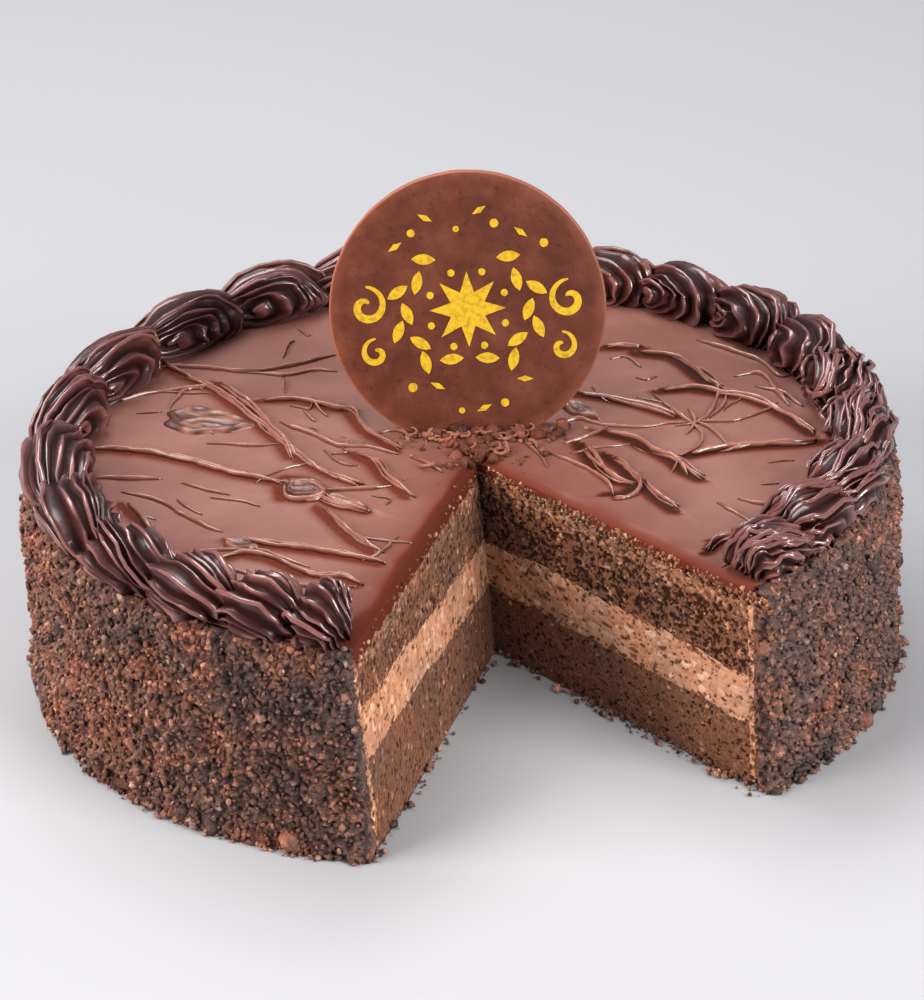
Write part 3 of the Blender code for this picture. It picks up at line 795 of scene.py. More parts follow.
# The near-cut darkening and the painted trail shadows darken the colour in two stages.
for pale_end, dark_end, deeper in ((0.03, 0.62, (0.098, 0.019, 0.010)), (0.55, 1.0, (0.030, 0.008, 0.005))):
    share = spread(ganache_finish, near_cut_and_shadow_tone, pale_end, dark_end, 0.0, 1.0)
    ganache_colour = mixed(ganache_finish, ganache_colour, deeper, share)
join(ganache_finish, ganache_colour, shader.inputs["Base Color"])
for socket, smooth, torn in (("Roughness", 0.36, 0.66), ("Specular IOR Level", 0.26, 0.06)):
    join(ganache_finish, spread(ganache_finish, near_cut_and_shadow_tone, 0.18, 0.60, smooth, torn), shader.inputs[socket])
bump(ganache_finish, shader, ((grain(ganache_finish, 3 * MM, 4.0), 0.25 * MM, 0.35),
                              (grain(ganache_finish, 0.5 * MM), 0.05 * MM, 0.3)))
serve(ganache_sheet, ganache_finish, "ganache", "ganache_top")


# Cooler ganache was trailed over the top while it set, so it stands up in thin lines, loops and broken webs.
# It is the same chocolate, so its lines catch the light along their crests, helped by a painted highlight,
# have painted shade along their feet, and cast short shadows.
SECTION_SIDES = 8
THIN_LINES = 28
SMEAR_SIDES = 56
SMEAR_RINGS = 14
SMEARS = ((-53.3, 30.8, 10.6, 6.6, -0.62, -0.05), (-38.2, -12.4, 5.4, 3.6, -0.8, -0.38),
          (-31.2, -21.6, 5.8, 1.8, -0.88, 0.12), (31.4, 8.4, 5.8, 2.6, -1.15, -0.10),
          (-57.5, -34.0, 4.0, 2.2, -0.7, -0.05))
FINE_TRAILS = (
    ((-59, 65), (-48, 60), (-39, 55), (-29, 55), (-16, 57)), ((-39, 55), (-30, 50), (-23, 50), (-18, 48)),
    ((-24, 69), (-26, 67), (-29, 60)), ((-31, 51), (-32, 40)),
    ((-72, 48), (-62, 50), (-50, 50), (-47, 50)), ((-68, 40), (-62, 39)),
    ((-37, 24), (-32, 17), (-26, 8), (-20, 5), (-14, -1)), ((-30, 7), (-28, -1), (-24, -4)),
    ((-55, 19), (-45, 14), (-39, 13)), ((-84, 10), (-75, 6), (-68, 4)),
    ((-78, 0), (-71, -7), (-66, -17), (-60, -27)), ((-70, -34), (-62, -35), (-55, -37)),
    ((-66, -40), (-59, -47), (-52, -54), (-43, -59), (-37, -60)), ((-54, -58), (-53, -63)),
    ((-35, -14), (-24, -16), (-19, -16)), ((-30, 29), (-29, 22)), ((-26, 8), (-25, 4), (-29, 4)),
    ((-60, 40), (-55, 49), (-50, 49)), ((-55, -35), (-48, -45), (-45, -49)),
    ((-12, -3), (-9, -8), (-7, -13)), ((-16, 11), (-11, 11), (-9, 4)), ((46, 34), (50, 34), (52, 27)),
    ((69, 38), (76, 28), (80, 20), (81, 12), (85, 12)), ((71, 15), (77, 15), (78, 7), (78, -5)),
    ((63, 24), (66, 17), (65, 9), (61, 0), (56, -5), (50, -6)),
    ((50, 12), (51, 6), (53, -2), (54, -7), (54, -14), (50, -20), (46, -22)),
    ((55, -5), (57, -10), (58, -21)), ((55, -5), (49, -4), (41, -4), (33, 0)),
    ((55, -5), (60, -7), (65, -8), (72, -5), (76, -2)), ((24, 3), (30, 4), (34, -1), (41, -4)),
    ((23, -7), (32, -4), (36, -1)), ((42, -29), (46, -24), (48, -31)), ((45, -22), (45, -31)),
    ((64, -31), (70, -32)), ((59, -41), (63, -42)), ((19, -11), (23, -18), (27, -28), (27, -35)),
    ((47, -46), (49, -52), (52, -60)), ((52, -46), (56, -50), (61, -52)),
    ((39, -75), (44, -73), (48, -73)), ((15, -2), (16, -10), (16, -18)), ((56, 2), (55, -5), (51, -11)),
    ((74, 8), (79, 2), (81, -6)), ((49, 22), (51, 20), (54, 21)), ((58, -5), (63, 0), (67, 7)),
)


def trail_line(knots, step):
    """A smooth line through the knots at even steps, and the way across it."""
    knots = np.array(knots, dtype=float) * MM
    ends = np.vstack([2 * knots[0] - knots[1], knots, 2 * knots[-1] - knots[-2]])
    spots = []
    for before, start, end, after in zip(ends, ends[1:], ends[2:], ends[3:]):
        count = max(2, round(np.linalg.norm(end - start) / step))
        share = np.arange(count)[:, None] / count
        spots.append(0.5 * (2 * start + (end - before) * share
                            + (2 * before - 5 * start + 4 * end - after) * share ** 2
                            + (3 * start - before - 3 * end + after) * share ** 3))
    spots = np.vstack(spots + [knots[-1:]])
    slope = np.gradient(spots, axis=0)
    return spots, np.column_stack([-slope[:, 1], slope[:, 0]]) / np.linalg.norm(slope, axis=1)[:, None]


def tube(steps, around):
    """Faces of a closed line of so many rings, with a cap at each end."""
    caps = [list(range(around))[::-1], list(range((steps - 1) * around, steps * around))]
    return ring_quads(steps, around).tolist() + caps


def gather(parts):
    """Joins meshes into one: each is its points, its faces and the tones of its points."""
    points, faces, tones, total = [], [], [], 0
    for part_points, part_faces, part_tones in parts:
        points.append(part_points)
        tones.append(part_tones)
        faces += [[index + total for index in face] for face in part_faces]
        total += len(part_points)
    return np.vstack(points), faces, np.concatenate(tones)


def bead(knots, width, rise, draw):
    """Points, faces and tones of one raised line, pinched and uneven along its length."""
    spots, across = trail_line(knots, 0.8 * MM)
    steps = len(spots)
    path = np.column_stack([spots, np.full(steps, draw.uniform(0, 90) * MM)])
    stray = 0.55 * MM * ripple(path, 8 * MM, 1) + 0.24 * MM * ripple(path, 2.6 * MM, 2)
    spots = spots + across * stray[:, None]
    share = np.linspace(0, 1, steps)
    taper = np.minimum(1, np.minimum(share, 1 - share) * steps / 7) ** 0.6
    swell = (0.30 + 0.70 * taper) * (1 + 0.45 * ripple(path, 4 * MM, 3) + 0.25 * ripple(path, 1.6 * MM, 5))
    high = rise * (0.25 + 0.75 * taper) * (1 + 0.45 * ripple(path, 5 * MM, 4))
    level = GANACHE_TOP + spatula_marks(spots)
    turns = 2 * math.pi * (np.arange(SECTION_SIDES) + 0.5) / SECTION_SIDES
    wide = np.cos(turns)[None, :] * (width / 2 * swell)[:, None]
    up = np.sin(turns)[None, :] * high[:, None]
    up = np.maximum(up, -0.5 * MM) + 0.25 * wide
    centre = spots[:, None, :] + across[:, None, :] * wide[:, :, None]
    points = np.concatenate([centre, (level[:, None] + up)[:, :, None]], axis=2).reshape(-1, 3)
    # The tone is a painted highlight and shade: pale on the crest, dark at the foot.
    return points, tube(steps, SECTION_SIDES), np.clip(up / (0.7 * MM), 0, 1).ravel()


def on_top(spot, edge=80.5 * MM, clear=1.5 * MM):
    """True where drizzle may lie: inside the border and not over the missing slice."""
    if np.linalg.norm(spot) > edge:
        return False
    if spot[1] > CUT_TIP[1]:
        return True
    return any((CUT_TIP - spot) @ away > clear for _, _, away in CUTS)


def placed(shape, x, y, turn):
    """A flat shape turned and set down at a place."""
    c, s = math.cos(turn), math.sin(turn)
    return np.column_stack([x + c * shape[:, 0] - s * shape[:, 1], y + s * shape[:, 0] + c * shape[:, 1]])


def smear(middle, half_long, half_wide, heading, shade):
    """A low wrinkled patch where a blob of ganache was caught and dragged."""
    here = np.arange(SMEAR_SIDES)
    turns = 2 * math.pi * here / SMEAR_SIDES
    share = np.append(np.arange(1, SMEAR_RINGS + 1) / SMEAR_RINGS, 1.02)
    edge = 1 + 0.12 * np.sin(3 * turns + 1) + 0.06 * np.sin(7 * turns)
    local = np.stack([share[:, None] * edge * half_long * np.cos(turns),
                      share[:, None] * edge * half_wide * np.sin(turns)], axis=2).reshape(-1, 2)
    wrinkle = np.column_stack([local * (0.40, 1.0), np.full(len(local), 3 * MM + middle[0])])
    folds = 1 - 2.2 * np.abs(ripple(wrinkle, 2.6 * MM, 66)) - 0.5 * np.abs(ripple(wrinkle, 1.1 * MM, 67))
    out = np.repeat(share, SMEAR_SIDES)
    swell = 0.70 * np.sqrt(np.maximum(1.02 - out ** 2, 0)) + 0.38 * folds * (1 - out ** 6)
    swell += 0.45 * np.exp(-((out - 0.84) / 0.11) ** 2)
    high = np.where(out > 1, -0.6, swell) * MM
    spots = np.vstack([placed(local, *middle, heading), middle, middle])
    level = GANACHE_TOP + spatula_marks(spots)
    points = np.column_stack([spots, level + np.append(high, (1.0 * MM, -0.6 * MM))])
    hub = len(local)
    faces = ring_quads(SMEAR_RINGS + 1, SMEAR_SIDES)[:, [0, 3, 2, 1]].tolist()
    faces += fan(hub, here)
    faces += fan(hub + 1, hub - SMEAR_SIDES + here, flip=True)
    # Painted highlight and shade: the tone is paler on the folds and darker in the creases between them.
    return points, faces, np.clip(np.append(0.12 + shade + 0.80 * folds, (0.3, 0.0)), 0, 1)


draw = np.random.default_rng(71)
lines = [(knots, draw.uniform(0.75, 1.2) * MM, draw.uniform(0.85, 1.2) * MM) for knots in STOUT_TRAILS]
for knots in STOUT_TRAILS + STOUT_TRAILS:
    beside = draw.normal(0, 0.35, (len(knots), 2)) + draw.choice((-0.5, 0.5), 2)
    kept = draw.integers(0, max(1, len(knots) - 3))
    line = (np.array(knots) + beside)[kept:]
    lines.append((line, draw.uniform(0.45, 0.8) * MM, draw.uniform(0.6, 1.0) * MM))
lines += [(knots, draw.uniform(0.6, 1.05) * MM, draw.uniform(0.65, 1.0) * MM) for knots in FINE_TRAILS]
traced = len(lines)
while len(lines) < traced + THIN_LINES:
    middle = draw.uniform(-80, 80, 2)
    turn = draw.normal(-0.75, 0.6) if middle[0] < 0 else draw.normal(-0.9, 0.9)
    half = draw.uniform(1.5, 9) * np.array((math.cos(turn), math.sin(turn)))
    bend = draw.normal(0, 1.6, 2)
    knots = (middle - half, middle + bend, middle + half)
    if all(on_top(knot * MM) for knot in knots):
        lines.append((knots, draw.uniform(0.5, 0.9) * MM, draw.uniform(0.5, 0.8) * MM))
drizzle = knit("drizzle_lines", *gather([bead(knots, width, rise, draw) for knots, width, rise in lines]))


def trailed_finish(name, rough, shine, coat, dark, pale):
    """Set ganache with a painted highlight paler along its crests and painted shade dark along its foot."""
    made, shader = finish(name, rough, Specular_IOR_Level=shine, Coat_Weight=coat, Coat_Roughness=0.16)
    streak_colour = ramp(made, grain(made, 5 * MM, 3.0),
                         ((0.3, (0.85, 0.80, 0.80)), (0.7, (1.15, 1.15, 1.15))))
    painted_crest_light = ramp(made, mesh_tone(made), ((0.15, dark), (0.95, pale)))
    join(made, mixed(made, painted_crest_light, streak_colour, 1.0, "MULTIPLY"), shader.inputs["Base Color"])
    bump(made, shader, ((grain(made, 1.2 * MM), 0.15 * MM, 0.4),))
    return made


drizzle_finish = trailed_finish("drizzled_ganache", 0.26, 0.5, 0.5,
                                (0.052, 0.011, 0.006), (0.215, 0.085, 0.060))
serve(drizzle, drizzle_finish, "ganache", "ganache_top")
patches = [smear(np.array((x, y)) * MM, half_long * MM, half_wide * MM, heading, shade)
           for x, y, half_long, half_wide, heading, shade in SMEARS]
smears = knit("smeared_drizzle", *gather(patches))
smear_finish = trailed_finish("smeared_ganache", 0.40, 0.35, 0.2,
                              (0.056, 0.013, 0.007), (0.245, 0.108, 0.066))
serve(smears, smear_finish, "ganache", "ganache_top")


# The border is dark whipped ganache, piped shell by shell through a star nozzle, each one started over the
# tail of the last. Each is coiled up in fine strands round an eye that faces in, and they come down outside.
SHELL_AZIMUTHS = (300.8, 311.1, 324.8, 341.7, 356.4, 370.3, 384.0, 398.6, 411.0, 424.5, 438.0,
                  452.0, 465.6, 482.0, 501.3, 516.8, 533.2, 551.6, 566.3, 579.1, 590.8, 599.2)
BORDER_START = 297.3
BORDER_END = 602.2
SHELL_LINE = 91.2 * MM
SHELL_HALF_WIDTH = 8.7 * MM
SHELL_RISE = 8.6 * MM
SHELL_WAIST = 3.6 * MM
SHELL_EYE = np.array((0.42, -0.86, 0.18)) / np.linalg.norm((0.42, -0.86, 0.18))
SHELL_FOOT = np.array((-0.38, 0.73, -0.55)) / np.linalg.norm((-0.38, 0.73, -0.55))
STRAND_POINTS = 5
STRANDS = 10
MESSY_STRANDS = 14
STRANDS_A_TURN = 1
SHELL_COLUMNS = 74
MESSY_SHELLS = (1, 2, 3, 4, 5)
LOOSE_ON_MESSY = 22
LOOSE_ON_NEAT = 5


def strand_ways(climb, around):
    """Directions out of a shell's middle: climb runs from the swirl's eye over the top to its foot."""
    first = SHELL_FOOT - SHELL_EYE * (SHELL_FOOT @ SHELL_EYE)
    first /= np.linalg.norm(first)
    second = np.cross(SHELL_EYE, first)
    spread = math.acos(SHELL_FOOT @ SHELL_EYE)
    far = math.tan(spread / 2)
    rise = np.tan((math.pi - spread / 2) * climb)
    turn = 2 * np.arctan2(math.tan(spread / 4) * np.sin(around / 2), np.cos(around / 2))
    ring = rise / (rise + far) * np.exp(1j * (turn + math.pi))
    top, bottom = far * ring, ring - 1
    size = np.abs(top) ** 2 + np.abs(bottom) ** 2
    cross = top * np.conj(bottom) / size
    ahead = (np.abs(bottom) ** 2 - np.abs(top) ** 2) / size
    return (2 * cross.real[..., None] * first + 2 * cross.imag[..., None] * second
            + ahead[..., None] * SHELL_EYE)


def place_shell(way, middle, head_reach, tail_reach):
    """Points of a shell for ways out of its middle: round head, low tail, flat foot, bent round the cake."""
    tail = np.clip(way[:, 0], 0, 1)
    along = np.where(way[:, 0] > 0, tail_reach, head_reach) * np.sign(way[:, 0]) * np.abs(way[:, 0]) ** 0.82
    outward = SHELL_HALF_WIDTH * way[:, 1] * (1 - 0.50 * tail ** 2) + 2.6 * MM * tail ** 2
    rise = np.where(way[:, 2] > 0, SHELL_WAIST + SHELL_RISE * way[:, 2] * (1 - 0.60 * tail ** 1.5),
                    SHELL_WAIST * np.maximum(0, 1 + 2 * way[:, 2]))
    azimuth = middle + along / SHELL_LINE
    radius = SHELL_LINE + outward
    return np.column_stack([radius * np.cos(azimuth), radius * np.sin(azimuth), GANACHE_TOP + rise])


def pipe_shell(number, middle, head_reach, tail_reach):
    """One shell, coiled up from its strands, and some of its crests as lines for loose strands."""
    draw = np.random.default_rng(80 + number)
    messy = number in MESSY_SHELLS
    rows = (MESSY_STRANDS if messy else STRANDS) * STRAND_POINTS
    coil = STRANDS_A_TURN * STRAND_POINTS
    row = np.arange(rows + 1)[:, None]
    column = np.arange(SHELL_COLUMNS)[None, :]
    share = (row + coil * column / SHELL_COLUMNS + 1) / (rows + coil + 2)
    around = 2 * math.pi * column / SHELL_COLUMNS + 0 * row
    pinch = 0.05 * np.sin(2 * math.pi * 1.7 * share + draw.uniform(0, 6))
    pinch = pinch + 0.02 * np.sin(2 * around + draw.uniform(0, 6))
    climb = (share + pinch * np.sin(math.pi * share)) ** 1.12
    way = strand_ways(climb, around).reshape(-1, 3)
    way = np.vstack([SHELL_EYE[None, :], way, SHELL_FOOT[None, :]])
    bend = np.column_stack([ripple(way + (number, axis * 7, 0), 0.7, 7) for axis in range(3)])
    bend += 0.4 * np.column_stack([ripple(way + (number, axis * 7, 3), 0.3, 8) for axis in range(3)])
    way += (0.30 if messy else 0.20) * bend
    way /= np.linalg.norm(way, axis=1)[:, None]
    crest = 1 - np.abs(np.sin(math.pi * row / STRAND_POINTS)) ** 1.1
    crest = np.broadcast_to(crest, (rows + 1, SHELL_COLUMNS)).ravel()
    crest = np.concatenate([[0.6], crest, [0.6]]) * (0.82 + 0.6 * ripple(way + (number, 0, 0), 0.55, 9))
    reach = np.concatenate([[0.0], climb.ravel(), [1.0]])
    ends = np.clip(np.minimum(reach, 1 - reach) * 7, 0, 1) ** 0.5
    rope = 0.05 * np.cos(2 * math.pi * 3 * reach + draw.uniform(0, 6)) * ends
    rope = rope - 0.16 * np.exp(-(reach / 0.10) ** 2)
    way = way * (1 + rope - (0.23 if messy else 0.22) * ends * (1 - crest))[:, None]
    lump = ripple(way + (number, 0, 0), 0.75, 5) * (0.20 if messy else 0.12)
    lump += ripple(way + (number, 0, 0), 0.30, 6) * (0.12 if messy else 0.04)
    way = way * (1 + lump[:, None])
    points = keep_in_box(place_shell(way, middle, head_reach, tail_reach))
    spot = 1 + row * SHELL_COLUMNS + column
    walls = np.stack([spot[:-1, :-1], spot[1:, :-1], spot[1:, 1:], spot[:-1, 1:]], axis=2)
    seam = np.column_stack([spot[:-1 - coil, -1], spot[1:rows + 1 - coil, -1],
                            spot[1 + coil:, 0], spot[coil:-1, 0]])
    faces = np.vstack([walls.reshape(-1, 4), seam]).tolist()
    eye_loop = np.concatenate([spot[0], spot[coil:0:-1, 0]])
    foot_loop = np.concatenate([spot[-1], spot[rows - 1:rows - coil - 1:-1, -1]])
    faces += fan(0, eye_loop)
    faces += fan(len(points) - 1, foot_loop, flip=True)
    grid = points[1:-1].reshape(rows + 1, SHELL_COLUMNS, 3)
    crests = [line for line in grid[::STRAND_POINTS] if line[:, 2].max() > GANACHE_TOP + 5 * MM]
    return knit("piped_shell_%02d" % number, points, faces, np.clip(crest, 0, 1)), crests


def round_cord(path, radius, tone, sides=6):
    """Points, faces and tones of a thin strand along a path, with pointed ends."""
    ahead = np.gradient(path, axis=0)
    ahead /= np.linalg.norm(ahead, axis=1)[:, None] + 1e-12
    across = np.cross(ahead, (0.0, 0.0, 1.0)) + 1e-6
    across /= np.linalg.norm(across, axis=1)[:, None]
    up = np.cross(across, ahead)
    turns = 2 * math.pi * np.arange(sides) / sides
    ring = across[:, None, :] * np.cos(turns)[None, :, None] + up[:, None, :] * np.sin(turns)[None, :, None]
    points = (path[:, None, :] + ring * radius[:, None, None]).reshape(-1, 3)
    return points, tube(len(path), sides), np.full(len(points), tone)


shell_finish, shader = finish("piped_dark_ganache", 0.24, Specular_IOR_Level=0.45, Coat_Roughness=0.10)
ridge = mesh_tone(shell_finish)
# Painted highlight and shade: the crests are coloured pale and the grooves near black.
painted_ridge_light = ramp(shell_finish, ridge, ((0.0, (0.011, 0.003, 0.002)), (0.55, (0.045, 0.012, 0.010)),
                                          (1.0, (0.210, 0.088, 0.078))))
for socket, low, high in (("Roughness", 0.50, 0.22), ("Specular IOR Level", 0.10, 0.55),
                          ("Coat Weight", 0.0, 0.55)):
    join(shell_finish, spread(shell_finish, ridge, 0.1, 0.8, low, high), shader.inputs[socket])
shade_colour = ramp(shell_finish, grain(shell_finish, 9 * MM, 2.0),
                    ((0.3, (0.8, 0.75, 0.8)), (0.7, (1.15, 1.05, 1.0))))
shell_colour = mixed(shell_finish, painted_ridge_light, shade_colour, 1.0, "MULTIPLY")
join(shell_finish, shell_colour, shader.inputs["Base Color"])
bump(shell_finish, shader, ((grain(shell_finish, 1.6 * MM), 0.12 * MM, 0.35),))
middles = [math.radians(value) for value in SHELL_AZIMUTHS]
edges = [(before + after) / 2 for before, after in zip(middles, middles[1:])]
edges = [math.radians(BORDER_START)] + edges + [math.radians(BORDER_END)]
strand_draw = np.random.default_rng(79)
loose = []
for number, middle in enumerate(middles, 1):
    head_reach = (middle - edges[number - 1]) * SHELL_LINE * (1.10 if number == 1 else 1.28)
    tail_reach = (edges[number] - middle) * SHELL_LINE * (1.12 if number == len(middles) else 1.48)
    shell, crests = pipe_shell(number, middle, head_reach, tail_reach)
    serve(shell, shell_finish, "border", "border_shell_%02d" % number)
    for _ in range(LOOSE_ON_MESSY if number in MESSY_SHELLS else LOOSE_ON_NEAT):
        line = crests[strand_draw.integers(len(crests))]
        first = strand_draw.integers(SHELL_COLUMNS // 5, SHELL_COLUMNS // 2)
        last = min(SHELL_COLUMNS - 12, first + strand_draw.integers(12, 36))
        line = line[first:last:2].copy()
        wander = 1.5 * MM if number in MESSY_SHELLS else 0.4 * MM
        seed = strand_draw.integers(200)
        line += wander * np.column_stack([ripple(line, 5 * MM, seed + axis) for axis in range(3)])
        line[:, 2] += 0.25 * MM
        share = np.linspace(0, 1, len(line))
        radius = strand_draw.uniform(0.38, 0.70) * MM * (0.25 + 0.75 * np.sin(math.pi * share) ** 0.4)
        # Loose strands take a pale crest tone, a painted highlight like the crests'.
        loose.append(round_cord(line, radius, 0.8))
points, faces, tones = gather(loose)
strands = knit("loose_strands", keep_in_box(points), faces, tones)
serve(strands, shell_finish, "border")


# The disc is moulded milk chocolate, cast flat about as thick as three coins and stood in a slot in the top.
# Its face shows faint marbling and scuffs from the mould, and its rim is coloured a little paler.
DISC_RADIUS = 31.8 * MM
DISC_THICK = 3.4 * MM
DISC_BURIED = 4.1 * MM
DISC_FOOT = Vector((5.35 * MM, 7.9 * MM))
DISC_LEAN = math.radians(-15)
DISC_TURN = math.radians(-13.1)
DISC_COLUMNS = 160
DISC_RINGS = 14

lean_turn = Matrix.Rotation(DISC_TURN, 4, "Z") @ Matrix.Rotation(math.radians(90) + DISC_LEAN, 4, "X")
disc_up = (lean_turn.to_3x3() @ Vector((0, 1, 0))).normalized()
disc_middle = DISC_RADIUS * disc_up.z + DISC_THICK / 2 * abs(math.sin(DISC_LEAN)) - DISC_BURIED
disc_centre = Vector((*DISC_FOOT, GANACHE_TOP)) + disc_up * (disc_middle / disc_up.z)
disc_place = Matrix.Translation(disc_centre) @ lean_turn


def turned_profile():
    """Half section of the disc from the middle of its back round the rim to the middle of its face."""
    edge = 0.55 * MM
    flat_stretch = np.linspace(0, DISC_RADIUS - edge, DISC_RINGS)[1:]
    lower = [(radius, -DISC_THICK / 2) for radius in flat_stretch]
    for turn in np.linspace(0, math.pi / 2, 6)[1:]:
        rounded = DISC_RADIUS - edge + edge * math.sin(turn)
        lower.append((rounded, -DISC_THICK / 2 + edge - edge * math.cos(turn)))
    upper = [(radius, -depth) for radius, depth in reversed(lower)]
    return np.array(lower + upper)


profile = turned_profile()
turns = 2 * math.pi * np.arange(DISC_COLUMNS) / DISC_COLUMNS
rim_wear = np.array([noise.noise(Vector((math.cos(t) * 9, math.sin(t) * 9, 2.0))) for t in turns])
worn_in = 0.12 * MM * np.clip(rim_wear - 0.35, -1, 0)[None, :]
radii = profile[:, :1] + worn_in * (profile[:, :1] / DISC_RADIUS) ** 12
depths = profile[:, 1:] * np.ones(DISC_COLUMNS)
local = np.stack([radii * np.cos(turns), radii * np.sin(turns), depths], axis=2)
local = np.vstack([[(0, 0, -DISC_THICK / 2)], local.reshape(-1, 3), [(0, 0, DISC_THICK / 2)]])
wave = 0.10 * MM * ripple(local, 12 * MM, 91) * (np.abs(local[:, 2]) > 0.4 * DISC_THICK)
local[:, 2] += wave
turned = np.array([disc_place @ Vector(point) for point in local])
here = np.arange(DISC_COLUMNS)
last = len(turned) - 1
faces = (1 + ring_quads(len(profile), DISC_COLUMNS)).tolist()
faces += fan(0, 1 + here, flip=True)
faces += fan(last, last - DISC_COLUMNS + here)
rim_share = np.clip((np.linalg.norm(local[:, :2], axis=1) - (DISC_RADIUS - 0.7 * MM)) / (0.6 * MM), 0, 1)
disc = knit("moulded_disc", keep_in_box(turned), faces, rim_share)

disc_finish, shader = finish("moulded_chocolate", 0.45, Specular_IOR_Level=0.30)
marble = grain(disc_finish, 7 * MM, 5.0, 0.6)
marble_colour = ramp(disc_finish, marble, ((0.34, (0.054, 0.012, 0.005)), (0.52, (0.078, 0.018, 0.008)),
                                           (0.68, (0.100, 0.027, 0.014))))
scuff = grain(disc_finish, 1.6 * MM, 4.0, 0.7)
scuff_colour = ramp(disc_finish, scuff, ((0.57, (1.0, 1.0, 1.0)), (0.68, (0.52, 0.46, 0.42))))
face_colour = mixed(disc_finish, marble_colour, scuff_colour, 0.8, "MULTIPLY")
disc_colour = mixed(disc_finish, face_colour, (0.260, 0.080, 0.045), mesh_tone(disc_finish))
join(disc_finish, disc_colour, shader.inputs["Base Color"])
bump(disc_finish, shader, ((scuff, 0.1 * MM, 0.3), (marble, 0.2 * MM, 0.25)))
serve(disc, disc_finish, "disc", "chocolate_disc")


# The disc's face carries a generic ornament printed in gold cocoa butter: a star in a wreath of leaves,
# with scrolls and a scatter of small lozenges and dots. The print stands a hair proud of the chocolate.
PRINT_RISE = 0.12 * MM
PRINT_DEPTH = 0.2 * MM
STAR_RAYS = 8
WREATH_RADIUS = 15.2 * MM
WREATH_LEAVES = 20
SCATTERED_MARKS = 26


def leaf(length, width, steps=7):
    """A leaf that points along x, wide in the middle and sharp at both ends."""
    share = np.linspace(0, 1, steps)
    half = width / 2 * np.sin(math.pi * share) ** 0.8
    upper = np.column_stack([share * length, half])
    lower = np.column_stack([share * length, -half])[1:-1][::-1]
    return np.vstack([upper, lower])


def star(points, outer, inner):
    """A star with so many rays, or a lozenge if it has two."""
    turns = math.pi * np.arange(2 * points) / points + math.pi / 2
    radii = np.where(np.arange(2 * points) % 2, inner, outer)
    return np.column_stack([radii * np.cos(turns), radii * np.sin(turns)])


def dot(radius, sides=12):
    """A round dot."""
    turns = 2 * math.pi * np.arange(sides) / sides
    return np.column_stack([np.cos(turns), np.sin(turns)]) * radius


def scroll(reach, curl, width, steps=34):
    """A tapering spiral stroke."""
    share = np.linspace(0, 1, steps)
    turns = curl * share
    radii = reach * (1 - 0.82 * share)
    path = np.column_stack([radii * np.cos(turns), radii * np.sin(turns)])
    ahead = np.gradient(path, axis=0)
    across = np.column_stack([-ahead[:, 1], ahead[:, 0]]) / np.linalg.norm(ahead, axis=1)[:, None]
    half = width / 2 * (0.25 + 0.75 * np.sin(math.pi * share) ** 0.7)
    return np.vstack([path + across * half[:, None], (path - across * half[:, None])[::-1]])


def print_mark(shape):
    """Points, faces and tones of one printed mark, from just under the disc's face to just above it."""
    size = len(shape)
    signed = np.sum(shape[:, 0] * np.roll(shape[:, 1], -1) - shape[:, 1] * np.roll(shape[:, 0], -1))
    shape = shape if signed > 0 else shape[::-1]
    points = [disc_place @ Vector((x, y, depth))
              for depth in (DISC_THICK / 2 - PRINT_DEPTH, DISC_THICK / 2 + PRINT_RISE) for x, y in shape]
    return np.array([point[:] for point in points]), tube(2, size), np.zeros(2 * size)


shapes = [star(STAR_RAYS, 8.8 * MM, 4.2 * MM)]
for step in range(WREATH_LEAVES):
    turn = 2 * math.pi * (step + 0.5) / WREATH_LEAVES
    x, y = WREATH_RADIUS * math.cos(turn), WREATH_RADIUS * math.sin(turn) * 0.86
    heading = turn + math.pi / 2 if x < 0 else turn - math.pi / 2
    tilt = 0.55 if step % 2 else -0.55
    if abs(x) > 3.5 * MM:
        shapes.append(placed(leaf(5.6 * MM, 2.5 * MM), x, y, heading + tilt))
for side in (-1, 1):
    shapes.append(placed(scroll(4.6 * MM, side * 7.0, 1.8 * MM), side * 23.2 * MM, 1.5 * MM, math.pi / 2))
    shapes.append(placed(scroll(3.4 * MM, -side * 6.5, 1.5 * MM), side * 21.4 * MM, -9.4 * MM, math.pi / 2))
scatter = np.random.default_rng(95)
for step in range(SCATTERED_MARKS):
    turn = 2 * math.pi * (step + scatter.uniform(-0.25, 0.25)) / SCATTERED_MARKS
    reach = scatter.uniform(18.5, 24.5) * MM
    x, y = reach * math.cos(turn), reach * math.sin(turn)
    if abs(y) < 14 * MM:
        continue
    mark = dot(scatter.uniform(0.7, 1.1) * MM) if step % 2 else star(2, 1.9 * MM, 0.7 * MM)
    shapes.append(placed(mark, x, y, scatter.uniform(0, math.pi)))
for step in range(STAR_RAYS):
    turn = 2 * math.pi * (step + 0.5) / STAR_RAYS
    shapes.append(placed(dot(0.85 * MM), 9.2 * MM * math.cos(turn), 9.2 * MM * math.sin(turn), 0))

points, faces, _ = gather([print_mark(shape) for shape in shapes])
gold = knit("gold_ornament", points, faces)
gold.data.set_sharp_from_angle(angle=math.radians(30))
gold_finish, shader = finish("gold_print", 0.38, Metallic=0.25, Specular_IOR_Level=0.5)
worn = grain(gold_finish, 1.1 * MM, 4.0)
gold_colour = ramp(gold_finish, worn, ((0.30, (0.360, 0.195, 0.008)), (0.55, (0.560, 0.345, 0.012))))
join(gold_finish, gold_colour, shader.inputs["Base Color"])
bump(gold_finish, shader, ((worn, 0.05 * MM, 0.3),))
serve(gold, gold_finish, "disc")


